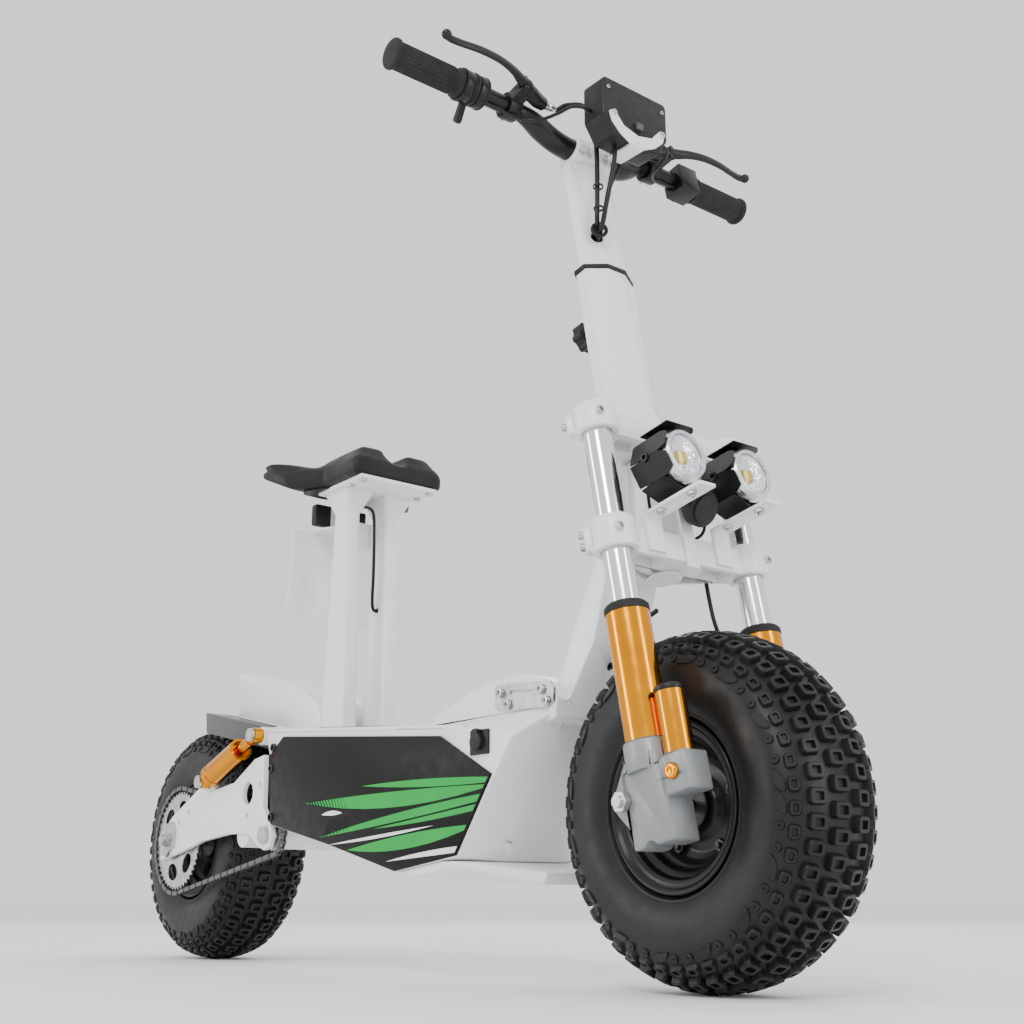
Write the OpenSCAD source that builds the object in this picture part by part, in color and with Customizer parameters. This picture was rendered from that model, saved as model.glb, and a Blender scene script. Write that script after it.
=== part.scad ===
// Seated off-road electric kick scooter with a double-crown front fork.
// Origin: on the ground midway between the axles. +X forward, +Y rider's left, +Z up. Millimetres.

/* [Layout] */
// Distance between the two axles
wheelbase = 1072; // [960:2:1180]
// Backward lean of the steering axis, degrees
rake = 11; // [9:0.5:13]
// Height of the lower fork crown above the ground
head_z = 458; // [452:1:470]
// Steering axis behind the front axle, at the lower crown
head_back = 61; // [58:1:66]

/* [Wheels] */
// Outer radius of both tyres
tyre_r = 180; // [176:1:184]
// Overall width of both tyres
tyre_w = 140; // [128:1:142]
// Flat crown width of the tread
crown_w = 76; // [60:1:84]
// Wall thickness of the tyre carcass
tyre_t = 9; // [6:0.5:12]
// Radius of the rim flange
rim_r = 87; // [84:1:88]
// Rim width over the flanges
rim_w = 117; // [112:1:118]

/* [Fork] */
// Stanchion radius
stan_r = 16; // [13.5:0.1:16.5]
// Half distance between the fork legs
leg_y = 101.5; // [101:0.5:104]
// Legs ahead of the steering axis
leg_u = 34; // [32:1:36]
// Lower leg outer radius
slider_r = 23; // [21:0.5:24]
// Reservoir radius
res_r = 15; // [12:0.5:15.5]
// Fork travel
fork_travel = 25; // [10:1:25]

/* [Column] */
// Half width of the lower steering column
col_y = 40; // [34:1:42]
// Length of the lower column above the upper crown
col_len = 231; // [220:1:250]
// Height of the grips above the lower crown, along the steering axis
grip_w = 593; // [575:1:610]
// Half width of the handlebar
bar_y = 299; // [290:1:330]
// Handlebar tube radius
bar_r = 11.1; // [10.5:0.1:12]

/* [Deck] */
// Half width of the deck box
deck_y = 97; // [92:1:98]
// Sheet thickness of the deck box
deck_t = 4; // [3:0.5:5]
// Half width of the neck
neck_y = 40; // [34:1:42]

/* [Seat] */
// Height of the seat plate
seat_z = 675; // [640:5:720]
// Half spacing of the two seat posts
post_y = 34; // [32:1:38]
// Half width of the seat front
seat_y = 78; // [72:1:84]

/* [Hidden] */
$fn = 48;
front_x = wheelbase / 2;
rear_x = -wheelbase / 2;
head_x = front_x - head_back;
// front axle seen from the lower crown: u forward, w up the steering axis
axle_dx = front_x - head_x;
axle_dz = tyre_r - head_z;
axle_u = axle_dx * cos(rake) + axle_dz * sin(rake);
axle_w = -axle_dx * sin(rake) + axle_dz * cos(rake);
run_gap = 0.05;
crown_lo = -28;
crown_lo_h = 36;
crown_hi = 112;
crown_hi_h = 32;
col_bottom = crown_hi + crown_hi_h;
col_top = col_bottom + col_len;
slider_top = -98;
slider_bottom = -240;
lug_bottom = -333;
bar_w = grip_w - 32;
arm_pivot_x = rear_x + 310;
arm_pivot_z = 177;
sprocket_y = -81;
shock_y = 104;
shock_low = [-411, 262];
shock_high = [-252, 318];

// ---- shared helpers -------------------------------------------------

module steer_frame() {
  translate([head_x, 0, head_z])
    rotate([0, -rake, 0])
      children();
}

// solid standing across the machine: a side outline in X and Z, centred on Y
module side_plate(points, thick) {
  rotate([90, 0, 0])
    linear_extrude(height = thick, center = true)
      polygon(points);
}

module y_rod(radius, length) {
  rotate([90, 0, 0])
    cylinder(r = radius, h = length, center = true);
}

module mirror_y() {
  children();
  mirror([0, 1, 0])
    children();
}

// round cord through hand-laid points
function unit(v) = v / norm(v);
function cord_dir(p, i) =
  unit(p[min(i + 1, len(p) - 1)] - p[max(i - 1, 0)]);
function cord_side(d) =
  abs(d[2]) < 0.9 ? unit(cross(d, [0, 0, 1])) : unit(cross(d, [1, 0, 0]));
function bezier(a, b, c, t) = a * (1 - t) * (1 - t) + b * 2 * t * (1 - t) + c * t * t;
// points with each corner rounded by a short curve
function soft(p, steps) = concat(
  [p[0]],
  [for (i = [1:len(p) - 2]) for (k = [0:steps])
    bezier((p[i - 1] + p[i]) / 2 * 0.7 + p[i] * 0.3, p[i],
           (p[i + 1] + p[i]) / 2 * 0.7 + p[i] * 0.3, k / steps)],
  [p[len(p) - 1]]);

module cord(points, radius, sides = 8, steps = 3) {
  path = soft(points, steps);
  n = len(path);
  rings = [for (i = [0:n - 1])
    let (d = cord_dir(path, i), s = cord_side(d), t = cross(d, s))
    for (k = [0:sides - 1])
      path[i] + radius * (cos(360 * k / sides) * s + sin(360 * k / sides) * t)];
  walls = [for (i = [0:n - 2]) for (k = [0:sides - 1])
    let (a = i * sides + k, b = i * sides + (k + 1) % sides)
    [a, a + sides, b + sides, b]];
  caps = [[for (k = [0:sides - 1]) k],
          [for (k = [sides - 1:-1:0]) (n - 1) * sides + k]];
  polyhedron(points = rings, faces = concat(walls, caps), convexity = 6);
}

// ---- wheels ---------------------------------------------------------

module tyre() {
  rotate([90, 0, 0])
    rotate_extrude($fn = 96)
      polygon([
        [rim_r - 1, 49], [rim_r + 8, 58.6], [112, tyre_w / 2 - 3], [130, tyre_w / 2],
        [148, tyre_w / 2 - 2], [164, 58], [173, 49], [tyre_r, crown_w / 2],
        [tyre_r, -crown_w / 2], [173, -49], [164, -58], [148, -tyre_w / 2 + 2],
        [130, -tyre_w / 2], [112, -tyre_w / 2 + 3], [rim_r + 8, -58.6], [rim_r - 1, -49],
        [rim_r - 7, -49], [rim_r - 7, -44], [rim_r + 3, -44], [114, -tyre_w / 2 + tyre_t + 3],
        [130, -tyre_w / 2 + tyre_t], [146, -tyre_w / 2 + tyre_t + 2], [158, -50],
        [168, -38], [170, 0], [168, 38], [158, 50], [146, tyre_w / 2 - tyre_t - 2],
        [130, tyre_w / 2 - tyre_t], [114, tyre_w / 2 - tyre_t - 3], [rim_r + 3, 44],
        [rim_r - 7, 44], [rim_r - 7, 49]]);
}

// stepped steel rim with a deep dish on both sides, and its hub
module rim(hub_r, hub_half, bore_r) {
  rotate([90, 0, 0])
    rotate_extrude($fn = 96)
      polygon([
        [bore_r, -hub_half], [hub_r, -hub_half], [hub_r, -16], [40, -12], [54, -24],
        [60, -40], [66, -46], [70, -52], [76, -55], [rim_r - 2, -rim_w / 2],
        [rim_r, -rim_w / 2 + 1.5], [rim_r - 1.5, -49.2], [rim_r - 7.2, -49.2],
        [rim_r - 7.2, -38], [69, -30], [64, -14], [64, 14], [69, 30], [rim_r - 7.2, 38],
        [rim_r - 7.2, 49.2], [rim_r - 1.5, 49.2], [rim_r, rim_w / 2 - 1.5],
        [rim_r - 2, rim_w / 2], [76, 55], [70, 52], [66, 46], [60, 40], [58, 12],
        [54, -2], [40, 4], [hub_r, 8], [hub_r, hub_half], [bore_r, hub_half]]);
}

module brake_disc(y, hub_r) {
  translate([0, y, 0])
    rotate([90, 0, 0])
      difference() {
        cylinder(r = 70, h = 2.4, center = true);
        cylinder(r = hub_r - 1, h = 6, center = true);
        for (k = [0:5])
          rotate([0, 0, 60 * k + 12])
            translate([42, 0, 0])
              cylinder(r = 12, h = 6, center = true);
        for (k = [0:17])
          rotate([0, 0, 20 * k])
            translate([62, 0, 0])
              cylinder(r = 2.6, h = 6, center = true);
      }
}

module front_tyre() {
  color([0.09, 0.09, 0.09])
    translate([front_x, 0, tyre_r])
      tyre();
}

module front_rim() {
  color([0.06, 0.06, 0.065])
    translate([front_x, 0, tyre_r])
      union() {
        rim(22, 74, 6 + run_gap);
        brake_disc(69, 22);
      }
}

module rear_tyre() {
  color([0.09, 0.09, 0.09])
    translate([rear_x, 0, tyre_r])
      tyre();
}

module rear_rim() {
  color([0.06, 0.06, 0.065])
    translate([rear_x, 0, tyre_r])
      union() {
        rim(24, 84, 8 + run_gap);
        brake_disc(74, 24);
      }
}

sprocket_r = 76;
sprocket_teeth = 48;

module rear_sprocket() {
  color([0.86, 0.86, 0.87])
    translate([rear_x, sprocket_y, tyre_r])
      rotate([90, 0, 0])
        difference() {
          union() {
            cylinder(r = sprocket_r - 4, h = 4, center = true, $fn = 96);
            for (k = [0:sprocket_teeth - 1])
              rotate([0, 0, 360 / sprocket_teeth * k])
                translate([sprocket_r - 5, 0, 0])
                  linear_extrude(height = 3, center = true)
                    polygon([[0, -3.2], [4, -1.2], [5, 0], [4, 1.2], [0, 3.2]]);
          }
          cylinder(r = 24.05, h = 8, center = true);
          for (k = [0:5])
            rotate([0, 0, 60 * k + 15])
              translate([50, 0, 0])
                scale([1, 1.35, 1])
                  cylinder(r = 12.5, h = 8, center = true);
        }
}

drive_r = 22;
drive_teeth = 14;

module drive_sprocket() {
  color([0.25, 0.25, 0.26])
    translate([arm_pivot_x, sprocket_y, arm_pivot_z])
      rotate([90, 0, 0])
        difference() {
          union() {
            cylinder(r = drive_r - 4, h = 3.6, center = true);
            for (k = [0:drive_teeth - 1])
              rotate([0, 0, 360 / drive_teeth * k])
                translate([drive_r - 5, 0, 0])
                  linear_extrude(height = 3, center = true)
                    polygon([[0, -3.4], [4, -1.3], [5, 0], [4, 1.3], [0, 3.4]]);
          }
          cylinder(r = 8 + run_gap, h = 8, center = true);
        }
}

// closed roller chain around the two sprockets
chain_in = 1.0;
chain_h = 8;

module chain() {
  color([0.2, 0.2, 0.2])
    translate([0, sprocket_y, 0])
      rotate([90, 0, 0])
        difference() {
          hull() {
            translate([rear_x, tyre_r, 0])
              cylinder(r = sprocket_r + chain_in + chain_h, h = 7, center = true, $fn = 96);
            translate([arm_pivot_x, arm_pivot_z, 0])
              cylinder(r = drive_r + chain_in + chain_h, h = 7, center = true);
          }
          hull() {
            translate([rear_x, tyre_r, 0])
              cylinder(r = sprocket_r + chain_in, h = 9, center = true, $fn = 96);
            translate([arm_pivot_x, arm_pivot_z, 0])
              cylinder(r = drive_r + chain_in, h = 9, center = true);
          }
        }
}

// ---- fork -----------------------------------------------------------

module stanchions() {
  color([0.85, 0.85, 0.87])
    steer_frame()
      mirror_y()
        translate([leg_u, leg_y, -205])
          cylinder(r = stan_r, h = 205 + col_bottom + 3);
}

module fork_sliders() {
  color([0.93, 0.62, 0.12])
    steer_frame()
      mirror_y() {
        translate([leg_u, leg_y, slider_bottom])
          difference() {
            cylinder(r = slider_r, h = slider_top - slider_bottom);
            translate([0, 0, 6])
              cylinder(r = stan_r + run_gap, h = slider_top - slider_bottom);
          }
        translate([leg_u + slider_r + res_r + 0.5, leg_y, -264])
          cylinder(r = res_r, h = 72);
      }
}

module fork_castings() {
  color([0.56, 0.57, 0.58])
    steer_frame() {
      // bracket behind the left leg for the brake
      translate([-34, leg_y - 18.5, -262])
        cube([45.5, 12, 20]);
      mirror_y()
        difference() {
          union() {
            // collar and body under the lower leg
            translate([leg_u, leg_y, -262])
              cylinder(r = slider_r + 3, h = 30);
            translate([leg_u - 24, leg_y - 19, lug_bottom])
              cube([52, 38, 74]);
            // web out to the axle, behind the leg
            hull() {
              translate([axle_u, leg_y, axle_w])
                y_rod(17, 36);
              translate([leg_u - 22, leg_y - 18, axle_w - 34])
                cube([10, 36, 70]);
            }
            // arm that carries the reservoir
            translate([leg_u + 24, leg_y - 17, -292])
              cube([34, 34, 38]);
            translate([leg_u + slider_r + res_r + 0.5, leg_y, -276])
              cylinder(r = res_r + 2.5, h = 22);
          }
          translate([leg_u, leg_y, slider_bottom])
            cylinder(r = slider_r + 0.02, h = 30);
          translate([leg_u + slider_r + res_r + 0.5, leg_y, -264])
            cylinder(r = res_r + 0.02, h = 40);
          translate([axle_u, leg_y, axle_w])
            y_rod(6.02, 60);
          // relief along the foot of the casting
          translate([leg_u - 2, leg_y, lug_bottom - 4])
            y_rod(9, 60);
        }
    }
}

module front_axle() {
  color([0.72, 0.72, 0.74])
    translate([front_x, 0, tyre_r])
      union() {
        y_rod(6, 264);
        mirror_y() {
          translate([0, 124.6, 0])
            rotate([90, 0, 0])
              cylinder(r = 10.5, h = 7, center = true, $fn = 6);
          translate([0, 78, 0])
            y_rod(9, 7);
        }
      }
}

module front_caliper() {
  color([0.08, 0.08, 0.085])
    steer_frame()
      union() {
        difference() {
          translate([-56, 60, -268])
            cube([42, 20.4, 44]);
          translate([axle_u, 69, axle_w])
            y_rod(72.5, 6);
        }
        translate([-34, 80, -262])
          cube([18, 2.98, 20]);
      }
}

// sheathed brake cable, free to rise through the lower crown
module fork_cable() {
  color([0.05, 0.05, 0.05])
    steer_frame()
      cord([[6, 62, 2], [6, 62, -70], [0, 80, -115], [-14, 84, -160], [-34, 82, -196],
            [-36, 74, -214], [-36, 72.5, -223.4]], 2.4);
}

// two clamp arms and a boss, seen down the steering axis
module crown_plate(height) {
  difference() {
    union() {
      cylinder(r = 30, h = height);
      mirror_y() {
        translate([leg_u, leg_y, 0])
          cylinder(r = stan_r + 8, h = height);
        hull() {
          cylinder(r = 22, h = height - 6);
          translate([leg_u - 6, leg_y - 16, 0])
            cylinder(r = 13, h = height - 6);
        }
        // split clamp ears behind the leg
        translate([leg_u - 20, leg_y + 14, height / 2])
          rotate([0, 0, 40])
            cube([18, 16, height - 8], center = true);
      }
      translate([22, -leg_y + 20, 0])
        cube([22, 2 * leg_y - 40, height - 4]);
    }
    mirror_y()
      translate([leg_u, leg_y, -1])
        cylinder(r = stan_r + 0.02, h = height + 2);
    translate([0, 0, -1])
      cylinder(r = 15.02, h = height + 2);
    // pockets under the arms
    mirror_y()
      translate([14, 34, -1])
        cube([22, 36, height / 2 - 3]);
    // wide guide hole for the brake cable on the left
    translate([6, 62, -1])
      cylinder(r = 5, h = height + 2);
  }
}

module fork_crowns() {
  color([0.93, 0.93, 0.93])
    steer_frame() {
      translate([0, 0, crown_lo])
        crown_plate(crown_lo_h);
      translate([0, 0, crown_hi])
        crown_plate(crown_hi_h);
    }
}

module steerer() {
  color([0.7, 0.7, 0.72])
    steer_frame()
      difference() {
        union() {
          translate([0, 0, crown_lo - 3])
            cylinder(r = 15, h = col_bottom + 3 - crown_lo);
          translate([0, 0, crown_lo - 3])
            cylinder(r = 18, h = 3);
        }
        translate([0, 0, crown_lo - 4])
          cylinder(r = 10, h = 60);
      }
}

module crown_bolts() {
  color([0.55, 0.55, 0.57])
    steer_frame()
      for (w = [crown_lo + 12, crown_lo + 26, crown_hi + 16])
        mirror_y()
          translate([leg_u - 20, leg_y + 14, w])
            rotate([0, 0, 40])
              translate([0, 8, 0])
                rotate([-90, 0, 0])
                  difference() {
                    cylinder(r = 4.5, h = 5);
                    translate([0, 0, 2])
                      cylinder(r = 2.3, h = 4, $fn = 6);
                  }
}

// ---- column ---------------------------------------------------------

// boat-nosed section of the column, drawn inside the outer one by g
function col_section(g) = [
  [-24 + g, -30 + g * 0.6], [-17 + g * 0.6, -col_y + g], [0, -col_y + g],
  [14 - g, -14 + g * 0.3], [14 - g, 14 - g * 0.3], [0, col_y - g],
  [-17 + g * 0.6, col_y - g], [-24 + g, 30 - g * 0.6]];

module lower_column() {
  color([0.94, 0.94, 0.94])
    steer_frame()
      difference() {
        union() {
          translate([0, 0, col_bottom])
            linear_extrude(height = col_len)
              polygon(col_section(0));
          // boss behind for the clamp knob
          translate([-30, 0, col_top - 58])
            rotate([0, 90, 0])
              cylinder(r = 12, h = 12);
          // wide foot on the upper crown
          hull() {
            translate([0, 0, col_bottom])
              linear_extrude(height = 6)
                polygon([[-26, -30], [-18, -52], [4, -58], [22, -30], [22, 30],
                         [4, 58], [-18, 52], [-26, 30]]);
            translate([0, 0, col_bottom + 44])
              linear_extrude(height = 2)
                polygon(col_section(0.1));
          }
        }
        translate([0, 0, col_bottom + 80])
          linear_extrude(height = col_len)
            polygon(col_section(4.6));
        translate([-34, 0, col_top - 58])
          rotate([0, 90, 0])
            cylinder(r = 5.05, h = 18);
      }
}

module column_collar() {
  color([0.1, 0.1, 0.1])
    steer_frame()
      translate([0, 0, col_top])
        linear_extrude(height = 5)
          difference() {
            polygon(col_section(-1.5));
            polygon(col_section(4.6));
          }
}

module clamp_knob() {
  color([0.05, 0.05, 0.055])
    steer_frame()
      translate([-30, 0, col_top - 58])
        rotate([0, -90, 0])
          union() {
            translate([0, 0, -9])
              cylinder(r = 5, h = 9.5);
            translate([0, 0, 0.5])
              cylinder(r = 9, h = 16);
            translate([0, 0, 16])
              cylinder(r = 17, h = 15);
            for (k = [0:6])
              rotate([0, 0, 360 / 7 * k])
                translate([15, 0, 16])
                  cylinder(r = 5, h = 15);
          }
}

module upper_column() {
  color([0.95, 0.95, 0.95])
    steer_frame()
      difference() {
        union() {
          translate([0, 0, col_top - 110])
            linear_extrude(height = bar_w - 16 - col_top + 110)
              polygon(col_section(5));
          // stem head
          translate([0, 0, bar_w - 18])
            hull() {
              translate([-22, -34, 0])
                cube([36, 68, 4]);
              translate([0, 0, 18])
                y_rod(19, 56);
            }
          // arm that carries the display
          rotate([90, 0, 0])
            linear_extrude(height = 24, center = true)
              polygon([[8, bar_w - 4.5], [51, bar_w - 4.5], [52, bar_w + 6],
                       [8, bar_w + 6]]);
          // forked cradle that holds the display
          translate([73.5, 0, bar_w + 0.3])
            rotate([0, 11, 0])
              union() {
                translate([-22.52, -11, -43.02])
                  cube([4, 22, 52]);
                translate([-22.52, -11, -43.02])
                  cube([45, 22, 4]);
                translate([18.52, 0, 0])
                  rotate([90, 0, 90])
                    linear_extrude(height = 3.5)
                      polygon([[-11, -43.02], [11, -43.02], [30, -34], [43, -22], [47, -10],
                               [40, -5], [33, -12], [24, -22], [0, -28], [-24, -22], [-33, -12],
                               [-40, -5], [-47, -10], [-43, -22], [-30, -34]]);
              }
        }
        translate([0, 0, bar_w])
          y_rod(bar_r + 0.02, 80);
        // cable hole in the nose
        translate([12, -19, bar_w - 136])
          rotate([0, 90, -28])
            cylinder(r = 8, h = 26, center = true);
        translate([0, 0, col_top - 111])
          linear_extrude(height = 200)
            polygon(col_section(9));
        for (y = [-14, 14])
          translate([22, y, bar_w - 10])
            rotate([0, 90, 0])
              cylinder(r = 3.2, h = 12, center = true);
      }
}

bar_bend = [
  [0, -52, bar_w], [-3, -92, grip_w - 4], [-4, -108, grip_w], [-4, -bar_y + 3, grip_w]];

module bar_piece(a, b) {
  d = b - a;
  translate(a)
    rotate([0, acos(d[2] / norm(d)), atan2(d[1], d[0])])
      cylinder(r = bar_r, h = norm(d));
}

module handlebar() {
  color([0.07, 0.07, 0.075])
    steer_frame()
      union() {
        translate([0, 0, bar_w])
          y_rod(bar_r, 104);
        mirror_y()
          for (i = [0:len(bar_bend) - 2]) {
            bar_piece(bar_bend[i], bar_bend[i + 1]);
            translate(bar_bend[i])
              sphere(r = bar_r + 0.25, $fn = 48);
          }
      }
}

grip_len = 98;
grip_from = bar_y - grip_len;

module grips() {
  color([0.06, 0.06, 0.06])
    steer_frame()
      mirror_y()
        translate([-4, grip_from, grip_w])
          rotate([-90, 0, 0])
            difference() {
              union() {
                cylinder(r = 15.5, h = grip_len);
                cylinder(r = 19, h = 4);
                translate([0, 0, grip_len - 6])
                  cylinder(r = 17.5, h = 6);
                for (k = [0:9])
                  translate([0, 0, 9 + 8 * k])
                    cylinder(r = 16.6, h = 5);
              }
              translate([0, 0, -1])
                cylinder(r = bar_r + 0.5, h = grip_len - 2);
            }
}

lever_y = 128;
lever_u = 30;
lever_w = grip_w + 4;

module lever_mounts() {
  color([0.08, 0.08, 0.085])
    steer_frame()
      union() {
        mirror_y() {
          // band on the bar
          translate([-4, lever_y - 16, grip_w])
            rotate([-90, 0, 0])
              difference() {
                cylinder(r = bar_r + 5, h = 18);
                translate([0, 0, -1])
                  cylinder(r = bar_r + 0.3, h = 20);
              }
          // arm to the lever pivot, and the cable stop
          difference() {
            translate([9, lever_y - 16, lever_w - 8])
              cube([lever_u - 3, 18, 16]);
            translate([lever_u - 2, lever_y - 10, lever_w - 4])
              cube([20, 20, 8]);
          }
          translate([20, lever_y - 46, lever_w])
            rotate([-90, 0, 0])
              cylinder(r = 5.5, h = 31);
        }
        // throttle housing on the right, switch box on the left
        translate([-4, -grip_from + 2, grip_w])
          rotate([-90, 0, 0])
            difference() {
              cylinder(r = 20, h = 34);
              translate([0, 0, -1])
                cylinder(r = bar_r + 0.5, h = 36);
              translate([0, 0, 12])
                rotate_extrude()
                  translate([14.6, 0])
                    square([12, 9]);
            }
        difference() {
          translate([-18, grip_from - 38, grip_w - 20])
            cube([34, 34, 38]);
          translate([-4, grip_from - 20, grip_w])
            y_rod(bar_r + 0.5, 50);
          for (w = [-11, 9])
            translate([-19, grip_from - 21, grip_w + w - 0.5])
              rotate([0, 90, 0])
                cylinder(r = 5.3, h = 7);
        }
      }
}

module brake_lever() {
  difference() {
    union() {
      translate([lever_u + 6, lever_y - 2, lever_w])
        cylinder(r = 7, h = 6, center = true);
      hull() {
        translate([lever_u + 6, lever_y - 2, lever_w])
          cylinder(r = 6, h = 6, center = true);
        translate([lever_u + 18, lever_y + 24, lever_w])
          cylinder(r = 5, h = 8, center = true);
      }
      hull() {
        translate([lever_u + 18, lever_y + 24, lever_w])
          cylinder(r = 5, h = 8, center = true);
        translate([lever_u + 17, lever_y + 124, lever_w])
          cylinder(r = 5, h = 8, center = true);
      }
      translate([lever_u + 19, lever_y + 132, lever_w])
        cylinder(r = 8, h = 9, center = true);
    }
    translate([lever_u + 6, lever_y - 2, lever_w])
      cylinder(r = 2.5 + run_gap, h = 20, center = true);
  }
}

module lever_right() {
  color([0.1, 0.1, 0.105])
    steer_frame()
      mirror([0, 1, 0])
        brake_lever();
}

module lever_left() {
  color([0.1, 0.1, 0.105])
    steer_frame()
      brake_lever();
}

module thumb_throttle() {
  color([0.12, 0.12, 0.12])
    steer_frame()
      translate([-4, -grip_from + 14.4, grip_w])
        rotate([-90, 0, 0])
          difference() {
            union() {
              cylinder(r = 19.5, h = 8.2);
              // thumb paddle, towards the rider and down
              hull() {
                translate([-16, 8, 0])
                  cylinder(r = 4, h = 8.2);
                translate([-30, 24, 0])
                  cylinder(r = 5, h = 8.2);
              }
            }
            translate([0, 0, -1])
              cylinder(r = 14.9, h = 12);
          }
}

module box_button(w) {
  steer_frame()
    translate([-21.5, grip_from - 21, grip_w + w - 0.5])
      rotate([0, 90, 0])
        cylinder(r = 4.9, h = 5);
}

module horn_button() {
  color([0.75, 0.1, 0.08])
    box_button(-11);
}

module light_button() {
  color([0.85, 0.75, 0.2])
    box_button(9);
}

module display() {
  color([0.07, 0.07, 0.075])
    steer_frame()
      translate([73.5, 0, bar_w + 0.3])
        rotate([0, 11, 0])
          rotate([0, 90, 0])
            linear_extrude(height = 37, center = true)
              polygon([[-39, -50], [-34.5, -54.5], [14, -54.5], [39, -38], [39, 38],
                       [14, 54.5], [-34.5, 54.5], [-39, 50]]);
}

// ---- lamps and horn -------------------------------------------------

lamp_y = 52;
lamp_u = 96;
lamp_w = 62;

module lamp_brackets() {
  color([0.9, 0.9, 0.9])
    steer_frame()
      union() {
        mirror_y() {
          translate([44.02, lamp_y - 12, -24])
            cube([4, 24, 44]);
          translate([44.02, lamp_y - 12, 16])
            cube([86, 24, 4]);
        }
        // strap of the horn
        translate([44.02, -9, -34])
          cube([3, 18, 84]);
      }
}

module lamp_bodies() {
  color([0.07, 0.07, 0.075])
    steer_frame()
      mirror_y()
        translate([lamp_u, lamp_y, lamp_w])
          rotate([0, 90, 0])
            union() {
              // ribbed barrel
              difference() {
                union() {
                  translate([0, 0, -58])
                    cylinder(r = 19, h = 30);
                  for (k = [0:3])
                    translate([0, 0, -54 + 7 * k])
                      cylinder(r = 22, h = 3);
                  translate([0, 0, -30])
                    cylinder(r = 26, h = 26);
                }
                translate([0, 0, -14])
                  cylinder(r = 22, h = 20);
              }
              // folded shroud: roof, cheeks and foot
              difference() {
                translate([-38, -30, -46])
                  cube([80, 60, 52]);
                translate([-36, -28, -47])
                  cube([76, 56, 60]);
                for (s = [-1, 1])
                  translate([-36, s * 14, -20])
                    cube([12, 9, 26], center = true);
                for (s = [-1, 1])
                  translate([14, s * 30, -14])
                    cube([18, 8, 9], center = true);
                for (s = [-1, 1])
                  translate([-48, s * 31, 28])
                    rotate([0, 0, 45])
                      cube([26, 26, 120], center = true);
                translate([46, 0, 8])
                  cube([30, 36, 60], center = true);
              }
              // side screws that hold the barrel
              for (s = [-1, 1])
                translate([0, s * 28, -16])
                  rotate([90, 0, 0])
                    cylinder(r = 6, h = 8, center = true);
            }
}

module lamp_bezels() {
  color([0.8, 0.8, 0.82])
    steer_frame()
      mirror_y()
        translate([lamp_u - 4, lamp_y, lamp_w])
          rotate([0, 90, 0])
            difference() {
              rotate_extrude()
                polygon([[22, 0], [26, 0], [27, 3], [27, 10], [24, 15], [21, 15], [21, 8], [22, 6]]);
            }
}

module lamp_lenses() {
  color([0.85, 0.9, 0.95, 0.4])
    steer_frame()
      mirror_y()
        translate([lamp_u - 4, lamp_y, lamp_w])
          rotate([0, 90, 0])
            rotate_extrude()
              polygon([[0, 1], [20.9, 1], [20.9, 9], [16, 13], [9, 16], [0, 17]]);
}

module horn() {
  color([0.06, 0.06, 0.065])
    steer_frame()
      translate([66, 0, 30])
        rotate([0, 128, 0])
          union() {
            cylinder(r = 20.5, h = 12);
            translate([0, 0, 11])
              cylinder(r = 16, h = 5);
            translate([0, 0, -12])
              cylinder(r = 13, h = 13);
            translate([0, 0, -20])
              cylinder(r = 4, h = 9);
          }
}

// ---- deck and neck --------------------------------------------------

// height of the sloping deck surface at x
function deck_at(x) = 289.5 + (200 - x) * 0.0837;

lid_t = 5;
lid_front = 98;
deck_front = 200;
deck_back = -236;

module deck_box() {
  color([0.95, 0.95, 0.95])
    difference() {
      side_plate([
        [deck_back, deck_at(deck_back) - lid_t], [deck_front, deck_at(deck_front) - lid_t],
        [deck_front, 132.9], [108, 121.3], [-44, 156.5], [-208, 190], [-222, 286]],
        2 * deck_y);
      side_plate([
        [-232, 400], [-217.5, 287], [-203.5, 193.5], [-44, 156.5 + deck_t],
        [108, 121.3 + deck_t], [deck_front + 1, 132.9 + deck_t], [deck_front + 1, 400]],
        2 * deck_y - 2 * deck_t);
      // room for the front of the chain
      translate([arm_pivot_x, sprocket_y, arm_pivot_z])
        y_rod(34, 16);
    }
}

module deck_lid() {
  color([0.9, 0.9, 0.9])
    difference() {
      side_plate([
        [deck_back, deck_at(deck_back)], [lid_front, deck_at(lid_front)],
        [lid_front, deck_at(lid_front) - lid_t + 0.02], [deck_back, deck_at(deck_back) - lid_t + 0.02]],
        2 * deck_y);
      // cable holes under the seat posts
      mirror_y()
        translate([-140, post_y, 300])
          cylinder(r = 9, h = 60, center = true);
    }
}

module side_panels() {
  color([0.1, 0.1, 0.1])
    mirror_y()
      translate([0, deck_y + 1.51, 0])
        side_plate([
          [-180, 310], [199, 276], [298, 225], [233, 138], [108, 122.5], [-44, 157.8],
          [-205, 190.8], [-219.5, 285]], 3);
}

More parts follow.
